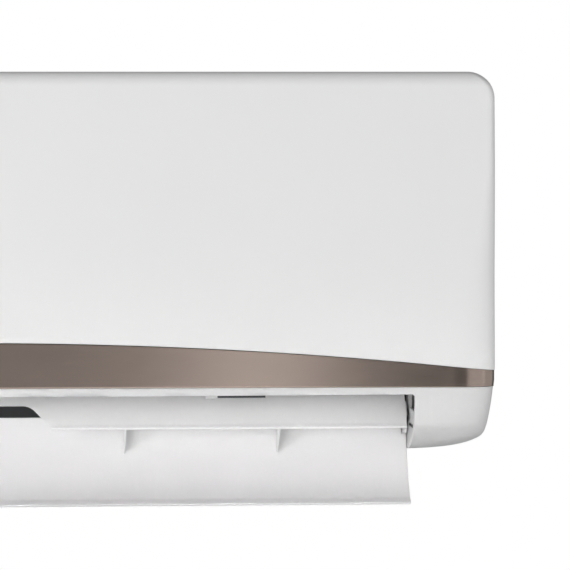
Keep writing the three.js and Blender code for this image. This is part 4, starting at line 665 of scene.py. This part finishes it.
def envelope(name, inset, rear):
    """The casing's whole form as one closed body, drawn in by the inset."""
    rings = []
    squeeze = (HEIGHT - FORM_BASE - 2 * inset) / (HEIGHT - FORM_BASE)
    for z in FORM_LEVELS:
        lifted = FORM_BASE + inset + squeeze * (z - FORM_BASE)
        ring = [outline_place(c / FORM_COLUMNS, z, inset, rear) for c in range(FORM_COLUMNS + 1)]
        rings.append([(p.x, p.y, BODY_BASE + lifted * MM) for p in ring])
    return ring_body(name, rings)


def rounded_block(x0, x1, d0, d1, z0, z1, radius, axis):
    """A block whose long edges along an axis (0 for X, 1 for depth, 2 for height) are rounded."""
    obj = block(x0, x1, d0, d1, z0, z1)
    deselect()
    bpy.context.view_layer.objects.active = obj
    obj.select_set(True)
    bpy.ops.object.mode_set(mode="EDIT")
    bpy.ops.mesh.select_mode(type="EDGE")
    bpy.ops.mesh.select_all(action="DESELECT")
    bpy.ops.object.mode_set(mode="OBJECT")
    for edge in obj.data.edges:
        a, b = (obj.data.vertices[i].co for i in edge.vertices)
        edge.select = abs((b - a).normalized()[axis]) > 0.9
    bpy.ops.object.mode_set(mode="EDIT")
    bpy.ops.mesh.bevel(offset=radius * MM, segments=6, profile=0.5)
    bpy.ops.object.mode_set(mode="OBJECT")
    return obj


def bevel_by_place(obj, widths):
    """Bevels sharp edges by (test of the edge's middle, width in millimetres): the first match wins."""
    mesh = bmesh.new()
    mesh.from_mesh(obj.data)
    layers = mesh.edges.layers.float
    layer = layers.get("bevel_weight_edge") or layers.new("bevel_weight_edge")
    widest = max(width for _, width in widths)
    for edge in mesh.edges:
        if len(edge.link_faces) != 2 or edge.calc_face_angle(0) < BEVEL_FROM:
            continue
        middle = (edge.verts[0].co + edge.verts[1].co) / 2
        x, d, z = middle.x / MM, -middle.y / MM, (middle.z - BODY_BASE) / MM
        edge[layer] = next((width / widest for test, width in widths if test(x, d, z)), 0.0)
    mesh.to_mesh(obj.data)
    mesh.free()
    return apply_modifier(
        obj, "BEVEL", width=widest * MM, segments=3, limit_method="WEIGHT", use_clamp_overlap=True)


def hinge_ears():
    """The sockets on the case that carry the panel's hinge pins."""
    pieces = []
    low = HINGE[1] - EAR_RADIUS
    for side in (-1, 1):
        for near in (EAR_GAP, -EAR_GAP - EAR_WIDTH):
            x0, x1 = sorted((side * (HINGE_X + near), side * (HINGE_X + near + EAR_WIDTH)))
            pieces.append(lathe_x([(x0, 0), (x0, EAR_RADIUS), (x1, EAR_RADIUS), (x1, 0)], *HINGE, 32))
            stem = [(STEM_BACK, low - 5), (HINGE[0] + 2, low - 5), (HINGE[0] + 2, low + 1),
                    (HINGE[0] - 2, low + 0.6), (HINGE[0] - 3.5, low - 0.3), (STEM_BACK, low - 0.3)]
            pieces.append(plate_x("stem", stem, x0, x1))
    return pieces


def hinge_arms():
    """The arms and pins on the panel that turn in the case's sockets."""
    pieces = []
    for side in (-1, 1):
        x0, x1 = sorted((side * (HINGE_X - ARM_HALF), side * (HINGE_X + ARM_HALF)))
        arm = [(HINGE[0] - 1.6, HINGE[1] - 2.4), (HINGE[0] + 11, HINGE[1] - 6), (HINGE[0] + 11, HINGE[1] + 1),
               (HINGE[0] + 6, HINGE[1] + 4.6), (HINGE[0] - 1.6, HINGE[1] + 2.4)]
        pieces.append(plate_x("arm", arm, x0, x1))
        p0, p1 = sorted((side * (HINGE_X - PIN_HALF), side * (HINGE_X + PIN_HALF)))
        pieces.append(lathe_x([(p0, 0), (p0, PIN_RADIUS), (p1, PIN_RADIUS), (p1, 0)], *HINGE, 24))
    return pieces


class UNIT_OT_front_panel(bpy.types.Operator):
    """Models the white front panel with its arched lower edge"""

    bl_idname = "indoor_unit.front_panel"
    bl_label = "Front panel"

    def execute(self, context):
        obj = upper_sheet("panel", 0.0, PANEL_SIDE_EDGE, PANEL_TOP_EDGE, shell_mm("panel_wall"))
        bevel_edges(obj, shell_mm("edge_round"), 3, 50)
        obj = join([obj, *hinge_arms()])
        finish_piece(obj, "front_panel_skin", "panel", "shell", MATERIALS["white"], "front_panel")
        return {"FINISHED"}


class UNIT_OT_trim_band(bpy.types.Operator):
    """Models the metallic band under the panel's arc"""

    bl_idname = "indoor_unit.trim_band"
    bl_label = "Trim band"

    def execute(self, context):
        obj = surface_sheet("band", band_low, lambda x: arc_height(x) - BAND_GAP, shell_mm("step"),
                            PANEL_SIDE_EDGE, BAND_WALL)
        bevel_edges(obj, BAND_EDGE, 2, 50)
        finish_piece(obj, "trim_band_skin", "root", "bronze", MATERIALS["bronze"], "trim_band")
        return {"FINISHED"}


def seat_body():
    """The room in the case for the panel and the band."""
    stations = [-FAR_SIDE + 2 * FAR_SIDE * i / 40 for i in range(41)]
    rear = PANEL_SIDE_EDGE - SEAT_SIDE_GAP

    def section(x):
        low = band_low(x) - SEAT_LOW_GAP
        return [(rear, low), (FAR_FRONT, low), (FAR_FRONT, SEAT_TOP), (rear, SEAT_TOP)]

    return swept("seat", section, stations)


class UNIT_OT_outlet_cheeks(bpy.types.Operator):
    """Models black cheeks behind the openings at the outlet's ends, as painted shade inside the outlet"""

    bl_idname = "indoor_unit.outlet_cheeks"
    bl_label = "Outlet cheeks"

    def execute(self, context):
        near = OUTLET_HALF + CAP_WALL + CHEEK_GAP
        far = near + CHEEK_WALL
        plates = [block(*sorted((side * near, side * far)), *span) for side in (-1, 1) for span in CHEEKS]
        # the black plates are painted shade seen through the pockets in the end caps
        finish_piece(join(plates), "outlet_shade_cheeks", "root", "shell", MATERIALS["black"])
        return {"FINISHED"}


class UNIT_OT_lip_catch(bpy.types.Operator):
    """Models the catch under the lip: a black block as painted shadow in the gap under the lip, with a white
    clip beside it
    """

    bl_idname = "indoor_unit.lip_catch"
    bl_label = "Lip catch"

    def execute(self, context):
        # the black block is painted shadow in the gap under the lip
        shade_block = block(*LIP_SHADOW_BLOCK)
        finish_piece(shade_block, "lip_shadow_block", "root", "shell", MATERIALS["black"])
        clip = rounded_block(*LIP_CLIP, CLIP_ROUND, 2)
        finish_piece(clip, "lip_clip", "root", "shell", MATERIALS["case_white_painted_shade"])
        return {"FINISHED"}


class UNIT_OT_front_case(bpy.types.Operator):
    """Models the case: top, sides, lower lip and the rounded end caps"""

    bl_idname = "indoor_unit.front_case"
    bl_label = "Front case"

    def execute(self, context):
        step = shell_mm("step")
        obj = envelope("case", step, CASE_BACK)
        hollow = envelope("hollow", step + HOLLOW_INSET, HOLLOW_BACK)
        for side in (-1, 1):
            cap = sorted((side * OUTLET_HALF, side * (OUTLET_HALF + CAP_WALL)))
            wide = sorted((side * OUTLET_HALF, side * FAR_SIDE))
            side_wall = block(*cap, CAP_BACK, FAR_FRONT, FAR_BELOW, CAP_TOP)
            rear_wall = block(*wide, CAP_BACK, CAP_BACK + CAP_REAR_WALL, FAR_BELOW, CAP_FLOOR)
            cut(hollow, side_wall, rear_wall)
        cut(obj, hollow)
        seat = seat_body()
        cut(seat, envelope("seat_core", step + SEAT_DEPTH, HOLLOW_BACK))
        sweep = block(-FAR_SIDE, FAR_SIDE, SWEEP_FRONT, FAR_FRONT, SWEEP_BASE, FAR_ABOVE)
        cut(obj, seat, sweep)
        outlet = rounded_block(
            -OUTLET_HALF, OUTLET_HALF, 100, FAR_FRONT, FAR_BELOW, LIP_BOTTOM, OUTLET_ROUND, 1)
        under = block(-FAR_SIDE, FAR_SIDE, FAR_REAR, CAP_BACK, FAR_BELOW, UNDERSIDE_TOP)
        inlet = block(-INLET_HALF, INLET_HALF, INLET_BACK, INLET_FRONT, INLET_BASE, FAR_ABOVE)
        back = block(-REAR_HALF, REAR_HALF, FAR_REAR, REAR_FRONT, REAR_BASE, REAR_TOP)
        cut(obj, outlet, under, inlet, back)
        for x0, x1 in FRAME_SPANS:
            cut(obj, rounded_block(x0, x1, FRAME_BACK, FAR_FRONT, FRAME_BASE, FRAME_TOP, FRAME_ROUND, 1))
        for side in (-1, 1):
            through = sorted((side * (OUTLET_HALF - 1), side * (OUTLET_HALF + CAP_WALL + 1)))
            cut(obj, *(block(*through, *span) for span in POCKETS))
        bevel_by_place(obj, [
            (lambda x, d, z: abs(abs(x) - OUTLET_HALF) < 0.3 and z < LIP_BOTTOM + 1 and d > 134, CAP_ROUND),
            (lambda x, d, z: abs(x) < OUTLET_HALF and z < LIP_BOTTOM + 2, LIP_ROUND),
            (lambda x, d, z: True, SMALL_ROUND)])
        apply_modifier(obj, "WEIGHTED_NORMAL", keep_sharp=True, weight=80)
        obj = join([obj, *hinge_ears()])
        finish_piece(obj, "front_case_skin", "root", "shell", MATERIALS["case_white_painted_shade"], "front_case")
        return {"FINISHED"}


# ------------------------------------------------------------------ the louver, in millimetres
PIVOT = (143.9, 6.1)
OPEN_ANGLE = math.radians(83.4)
FLAP_REAR = (135.2, 1.3)
FLAP_FRONT = (206.0, 33.6)
FLAP_BULGE = 9.5
FLAP_WALL = 2.4
FLAP_LIP = 0.9
FLAP_HALF_REAR = 361.9
FLAP_HALF_FRONT = 362.1
BLADE_REAR = (118.9, 15.9)
BLADE_FRONT = (145.1, 33.9)
BLADE_WALL = 1.8
BLADE_BEAD = 0.4
BLADE_END_GAP = 2.4
NOTCH_HALF_TOP = 62.0
NOTCH_HALF_BOTTOM = 80.5
NOTCH_RISE = 17.5
GUSSETS = (137.0, 258.6)
GUSSET_HALF = 1.1
FLAP_EDGE, RIB_EDGE, BLADE_EDGE = 0.9, 0.4, 0.6
BLADE_CROWN = 0.8
# The slot in the closed flap for the centre bracket, as (depth, height) points.
BRACKET_SLOT = ((120, -12), (153, -12), (153, 14), (120, 14))
GUSSET_LEAN_DEPTH = 16.0
ARM_WALL = 3.0
HUB_RADIUS = 4.6
SPIGOT_RADIUS = 2.0
SPIGOT_END = 363.8
SLOT_HALF = 3.5
FLAP_STEPS, BLADE_STEPS, LOUVER_STATIONS = 48, 24, 60


def opened(point):
    """A point of the closed louver, turned open about its pivot."""
    a, b = point[0] - PIVOT[0], point[1] - PIVOT[1]
    cosine, sine = math.cos(-OPEN_ANGLE), math.sin(-OPEN_ANGLE)
    return PIVOT[0] + a * cosine - b * sine, PIVOT[1] + a * sine + b * cosine


def flap_point(t, push):
    """A point of the open flap's section: t runs from rear to front, push is toward the inside."""
    run = (FLAP_FRONT[0] - FLAP_REAR[0], FLAP_FRONT[1] - FLAP_REAR[1])
    length = math.hypot(*run)
    out = (run[1] / length, -run[0] / length)
    bulge = FLAP_BULGE * 4 * t * (1 - t) * (1 + 0.35 * (t - 0.5)) - push
    return opened((FLAP_REAR[0] + run[0] * t + out[0] * bulge, FLAP_REAR[1] + run[1] * t + out[1] * bulge))


def blade_point(share, push):
    """A point of the open blade's section: share runs from rear to front, push is across the blade."""
    rear, front = opened(BLADE_REAR), opened(BLADE_FRONT)
    length = math.hypot(front[0] - rear[0], front[1] - rear[1])
    along = ((front[0] - rear[0]) / length, (front[1] - rear[1]) / length)
    crown = BLADE_CROWN * 4 * share * (1 - share) if 0 < share < 1 else 0.0
    return (rear[0] + along[0] * length * share - along[1] * (push + crown),
            rear[1] + along[1] * length * share + along[0] * (push + crown))


def swept(name, section, stations):
    """A closed section, a function of x giving (depth, height) points, carried through the x stations."""
    return ring_body(name, [[(x * MM, -d * MM, BODY_BASE + z * MM) for d, z in section(x)] for x in stations])


def even_stations(half):
    """Places across the louver, from one end to the other."""
    return [-half + 2 * half * i / LOUVER_STATIONS for i in range(LOUVER_STATIONS + 1)]


def plate_x(name, outline, x0, x1):
    """A flat plate square to X with an outline of (depth, height) points."""
    return swept(name, lambda x: outline, [x0, x1])


class UNIT_OT_louver_flap(bpy.types.Operator):
    """Models the louver's outer flap with its gussets and clips"""

    bl_idname = "indoor_unit.louver_flap"
    bl_label = "Louver flap"

    def execute(self, context):
        def section(x):
            shares = [i / FLAP_STEPS for i in range(FLAP_STEPS + 1)]
            outer = [flap_point(share, 0.0) for share in shares]
            inner = [flap_point(share, FLAP_WALL + FLAP_LIP * smooth_step((share - 0.925) / 0.02))
                     for share in reversed(shares)]
            return outer + inner

        obj = swept("flap", section, even_stations(FLAP_HALF_FRONT))
        top = flap_point(0, 0)[1]
        low = flap_point(1, 0)[1]
        for vertex in obj.data.vertices:
            z = (vertex.co.z - BODY_BASE) / MM
            share = (top - z) / (top - low)
            half = FLAP_HALF_REAR + (FLAP_HALF_FRONT - FLAP_HALF_REAR) * share
            vertex.co.x *= half / FLAP_HALF_FRONT
        bevel_edges(obj, FLAP_EDGE, 3, 60)
        slot = [opened(point) for point in BRACKET_SLOT]
        cut(obj, plate_x("slot", slot, -SLOT_HALF, SLOT_HALF))
        pieces = [obj]
        for side in (-1, 1):
            for station in GUSSETS:
                x = station * side
                outline = [blade_point(0.98, 0.3), flap_point(0.37, 1.2), flap_point(0.12, 1.2),
                           blade_point(0.3, 0.3)]
                fin = plate_x("gusset", outline, x - GUSSET_HALF, x + GUSSET_HALF)
                for vertex in fin.data.vertices:
                    fall = (BODY_BASE - vertex.co.z) / MM
                    vertex.co.x += (x * MM - vertex.co.x) * min(max(fall / GUSSET_LEAN_DEPTH, 0.0), 0.7)
                bevel_edges(fin, RIB_EDGE, 2, 40)
                pieces.append(fin)
            edge = FLAP_HALF_REAR - 1.0
            outline = [(PIVOT[0] + 1, PIVOT[1] - 5), opened((FLAP_REAR[0] + 3, FLAP_REAR[1] + 1.5)),
                       opened((FLAP_REAR[0] + 6, FLAP_REAR[1] + 3)), blade_point(0.6, -2),
                       blade_point(0.15, -2), (PIVOT[0] - 2, PIVOT[1] + 6)]
            arm = plate_x("arm", outline, side * edge, side * (edge - ARM_WALL))
            bevel_edges(arm, RIB_EDGE, 2, 40)
            pieces.append(arm)
            hub = side * (FLAP_HALF_REAR - 4)
            shoulder = side * FLAP_HALF_REAR
            tip = side * SPIGOT_END
            profile = [(hub, 0), (hub, HUB_RADIUS), (shoulder, HUB_RADIUS), (shoulder, SPIGOT_RADIUS),
                       (tip, SPIGOT_RADIUS), (tip, 0)]
            pieces.append(lathe_x(profile, *PIVOT, 32))
        whole = join(pieces)
        finish_piece(whole, "louver_flap_skin", "louver", "shell", MATERIALS["white_louver"], "louver_flap")
        return {"FINISHED"}


class UNIT_OT_louver_blade(bpy.types.Operator):
    """Models the louver's inner blade with its middle notch"""

    bl_idname = "indoor_unit.louver_blade"
    bl_label = "Louver inner blade"

    def execute(self, context):
        half = FLAP_HALF_REAR - BLADE_END_GAP

        def section(x):
            shares = [i / BLADE_STEPS for i in range(BLADE_STEPS + 1)]
            halves = [BLADE_WALL / 2 + BLADE_BEAD * smooth_step((share - 0.9) / 0.07) for share in shares]
            upper = [blade_point(share, half) for share, half in zip(shares, halves)]
            lower = [blade_point(share, -BLADE_WALL / 2) for share in reversed(shares)]
            return upper + lower

        obj = swept("blade", section, even_stations(half))
        front = blade_point(1, 0)[1]
        outline = [(-NOTCH_HALF_BOTTOM, front - 8), (NOTCH_HALF_BOTTOM, front - 8),
                   (NOTCH_HALF_BOTTOM, front - 0.5),
                   (NOTCH_HALF_TOP, front + NOTCH_RISE), (-NOTCH_HALF_TOP, front + NOTCH_RISE),
                   (-NOTCH_HALF_BOTTOM, front - 0.5)]
        deselect()
        bpy.ops.mesh.primitive_circle_add(vertices=len(outline), radius=1, fill_type="NGON")
        notch = bpy.context.object
        for vertex, (x, z) in zip(notch.data.vertices, outline):
            vertex.co = (x * MM, -0.1, BODY_BASE + z * MM)
        bpy.ops.object.mode_set(mode="EDIT")
        bpy.ops.mesh.select_all(action="SELECT")
        bpy.ops.mesh.extrude_region_move(TRANSFORM_OT_translate={"value": (0, -0.12, 0)})
        bpy.ops.mesh.select_all(action="SELECT")
        bpy.ops.mesh.normals_make_consistent(inside=False)
        bpy.ops.mesh.select_all(action="DESELECT")
        bpy.ops.object.mode_set(mode="OBJECT")
        for edge in notch.data.edges:
            a, b = (notch.data.vertices[i].co for i in edge.vertices)
            edge.select = abs((b - a).normalized().y) > 0.9
        bpy.ops.object.mode_set(mode="EDIT")
        bpy.ops.mesh.select_mode(type="EDGE")
        bpy.ops.mesh.bevel(offset=0.005, segments=5)
        bpy.ops.object.mode_set(mode="OBJECT")
        room = [blade_point(-0.2, -4), blade_point(0.3, -4), blade_point(0.3, 4), blade_point(-0.2, 4)]
        cut(obj, notch, plate_x("bracket_room", room, -SLOT_HALF, SLOT_HALF))
        bevel_edges(obj, BLADE_EDGE, 2, 50)
        finish_piece(
            obj, "louver_blade_skin", "louver", "shell", MATERIALS["blade_white_painted_light"], "louver_inner_blade")
        return {"FINISHED"}


# ------------------------------------------------------------------ carried-over solids and the stage
NODE_FINISHES = {
    "wall_plate": "steel", "rear_chassis": "chassis", "front_case": "white", "front_panel": "white",
    "trim_band": "bronze", "top_grille": "white", "filter_right": "filter", "filter_left": "filter",
    "drain_pan": "foam", "drain_plug": "rubber", "evaporator_front": "fins", "evaporator_top": "fins",
    "evaporator_rear": "fins", "coil_plate_right": "steel", "coil_plate_left": "steel", "gas_pipe": "copper",
    "liquid_pipe": "copper", "gas_flare_nut": "brass", "liquid_flare_nut": "brass", "cross_flow_fan": "black",
    "fan_shaft": "steel", "fan_stub_shaft": "steel", "fan_bearing": "rubber", "blower_motor": "steel",
    "motor_clamp": "inner", "louver_flap": "white_louver", "louver_inner_blade": "white_louver",
    "louver_centre_support": "white_louver", "louver_motor": "white", "electric_box": "inner",
    "electric_cover": "inner", "control_board": "board", "terminal_block": "black",
    "display_housing": "inner", "display_board": "board", "coil_sensor": "copper", "aux_button": "inner",
}
NODE_PREFIXES = (("vane_motor", "white"), ("vane_", "vane"), ("link_rod", "vane"))


class UNIT_OT_finishes(bpy.types.Operator):
    """Gives each solid carried over from the frame its finish"""

    bl_idname = "indoor_unit.finishes"
    bl_label = "Inner finishes"

    def execute(self, context):
        for name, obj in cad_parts.items():
            finish = NODE_FINISHES.get(name)
            if finish is None:
                finish = next(kind for prefix, kind in NODE_PREFIXES if name.startswith(prefix))
            obj.data.materials.clear()
            obj.data.materials.append(MATERIALS[finish])
        return {"FINISHED"}


def add_area(name, place, aim, size, power, spread=math.pi):
    light = bpy.data.lights.new(name, "AREA")
    light.shape = "RECTANGLE"
    light.size, light.size_y = size
    light.energy = power
    light.spread = spread
    obj = bpy.data.objects.new(name, light)
    bpy.context.collection.objects.link(obj)
    obj.location = place
    obj.rotation_euler = (Vector(aim) - Vector(place)).to_track_quat("-Z", "Y").to_euler()
    return obj


def backdrop_material(name):
    """Pale surface: white to the camera, lit elsewhere."""
    material, nodes, links, shader = new_material(name)
    shader.inputs["Base Color"].default_value = (0.86, 0.86, 0.86, 1)
    shader.inputs["Roughness"].default_value = 0.9
    glow = nodes.new("ShaderNodeEmission")
    glow.inputs["Color"].default_value = (1, 1, 1, 1)
    glow.inputs["Strength"].default_value = 1.0
    path = nodes.new("ShaderNodeLightPath")
    mix = nodes.new("ShaderNodeMixShader")
    output = next(n for n in nodes if n.type == "OUTPUT_MATERIAL")
    links.new(path.outputs["Is Camera Ray"], mix.inputs["Fac"])
    links.new(shader.outputs["BSDF"], mix.inputs[1])
    links.new(glow.outputs["Emission"], mix.inputs[2])
    links.new(mix.outputs["Shader"], output.inputs["Surface"])
    return material


class UNIT_OT_stage(bpy.types.Operator):
    """Sets the camera, the lamps, the white surroundings and the floor"""

    bl_idname = "indoor_unit.stage"
    bl_label = "Stage"

    def execute(self, context):
        stage = settings().stage
        scene = context.scene
        camera = bpy.data.cameras.new("Camera")
        camera.sensor_width = SENSOR_MM
        camera.sensor_fit = "HORIZONTAL"
        camera.lens = stage.focal_pixels * SENSOR_MM / PICTURE_PIXELS
        camera.clip_end = 50
        holder = bpy.data.objects.new("Camera", camera)
        scene.collection.objects.link(holder)
        front = -BODY_DEPTH
        holder.location = (0, front - stage.camera_distance, BODY_BASE + stage.camera_height)
        aim = Vector((stage.aim_x, front, BODY_BASE + stage.aim_z))
        holder.rotation_euler = (aim - holder.location).to_track_quat("-Z", "Y").to_euler()
        scene.camera = holder

        world = bpy.data.worlds.new("Studio")
        scene.world = world
        world.use_nodes = True
        nodes, links = world.node_tree.nodes, world.node_tree.links
        nodes.clear()
        output = nodes.new("ShaderNodeOutputWorld")
        soft = nodes.new("ShaderNodeBackground")
        soft.inputs["Color"].default_value = (1, 1, 1, 1)
        soft.inputs["Strength"].default_value = stage.world_light
        white = nodes.new("ShaderNodeBackground")
        white.inputs["Color"].default_value = (1, 1, 1, 1)
        white.inputs["Strength"].default_value = 1.0
        path = nodes.new("ShaderNodeLightPath")
        mix = nodes.new("ShaderNodeMixShader")
        links.new(path.outputs["Is Camera Ray"], mix.inputs["Fac"])
        links.new(soft.outputs["Background"], mix.inputs[1])
        links.new(white.outputs["Background"], mix.inputs[2])
        links.new(mix.outputs["Shader"], output.inputs["Surface"])

        add_area("Key", (-1.75, -2.3, 0.15), (0.05, -0.15, -0.1), (0.5, 0.9), stage.key_power)
        add_area("Low lamp", (-0.95, -3.2, -0.15), (0.1, -0.15, -0.15), (0.8, 0.8), stage.low_power)
        add_area("Louver lamp", (-1.1, -3.15, 0.05), (0.12, -0.17, -0.235), (0.9, 0.12), stage.louver_power,
                 spread=LOUVER_SPREAD)
        add_area("Side card", (2.3, -0.46, 0.0), (0.42, -0.2, -0.05), (1.9, 1.6), stage.side_power)
        add_area("Side tail", (1.55, -1.46, -0.1), (0.42, -0.2, -0.1), (1.0, 1.6),
                 stage.side_power * SIDE_TAIL_SHARE)
        add_area("Strip card", (0.59, -3.3, -0.3), (0.25, -0.15, -0.15), (0.24, 1.6), stage.strip_power)
        add_area("Strip tail", (0.17, -3.3, -0.3), (0.2, -0.15, -0.15), (0.55, 1.6),
                 stage.strip_power * STRIP_TAIL_SHARE)
        add_area("Top card", (-0.4, -1.3, 1.7), (0.1, -0.15, 0.0), (2.2, 1.2), stage.top_power)
        add_area("Floor card", (0.4, -2.2, -0.9), (0.3, -0.15, -0.1), (1.6, 0.8), stage.floor_power)

        deselect()
        bpy.ops.mesh.primitive_plane_add(size=6, location=(0, -1.0, BODY_BASE - FLOOR_DROP))
        floor = context.object
        floor.name = "floor"
        bpy.ops.object.transform_apply(location=True, rotation=True, scale=True)
        floor.data.materials.append(backdrop_material("Pale Floor"))
        scene.view_settings.view_transform = "Standard"
        return {"FINISHED"}


OPERATORS = (
    UNIT_OT_stage,
    UNIT_OT_finishes,
    UNIT_OT_front_panel,
    UNIT_OT_trim_band,
    UNIT_OT_front_case,
    UNIT_OT_outlet_cheeks,
    UNIT_OT_lip_catch,
    UNIT_OT_louver_flap,
    UNIT_OT_louver_blade,
)


class UNIT_PT_sidebar(bpy.types.Panel):
    """Lists the pieces and their settings"""

    bl_idname = "UNIT_PT_sidebar"
    bl_label = "Indoor Unit"
    bl_space_type = "VIEW_3D"
    bl_region_type = "UI"
    bl_category = "Indoor Unit"

    def draw(self, context):
        layout = self.layout
        groups = context.scene.indoor_unit
        for group in (groups.shell, groups.finish, groups.stage):
            box = layout.box()
            for name in group.bl_rna.properties.keys():
                if name not in ("rna_type", "name"):
                    box.prop(group, name)
        for operator in OPERATORS:
            layout.operator(operator.bl_idname)


class UnitSettings(bpy.types.PropertyGroup):
    """All settings of the indoor unit."""

    shell: PointerProperty(type=UnitShellSettings, name="Casing", description="Sizes of the casing")
    finish: PointerProperty(type=UnitFinishSettings, name="Finish", description="Colours and gloss")
    stage: PointerProperty(type=UnitStageSettings, name="Stage", description="Camera and lamps")


SETTINGS = (UnitShellSettings, UnitFinishSettings, UnitStageSettings, UnitSettings)
CLASSES = (*SETTINGS, *OPERATORS, UNIT_PT_sidebar)


def register():
    for kind in CLASSES:
        bpy.utils.register_class(kind)
    bpy.types.Scene.indoor_unit = PointerProperty(type=UnitSettings)


def unregister():
    del bpy.types.Scene.indoor_unit
    for kind in reversed(CLASSES):
        bpy.utils.unregister_class(kind)


def main():
    register()
    MATERIALS.update(make_materials())
    for operator in OPERATORS:
        group, name = operator.bl_idname.split(".")
        getattr(getattr(bpy.ops, group), name)()


if __name__ == "__main__":
    main()
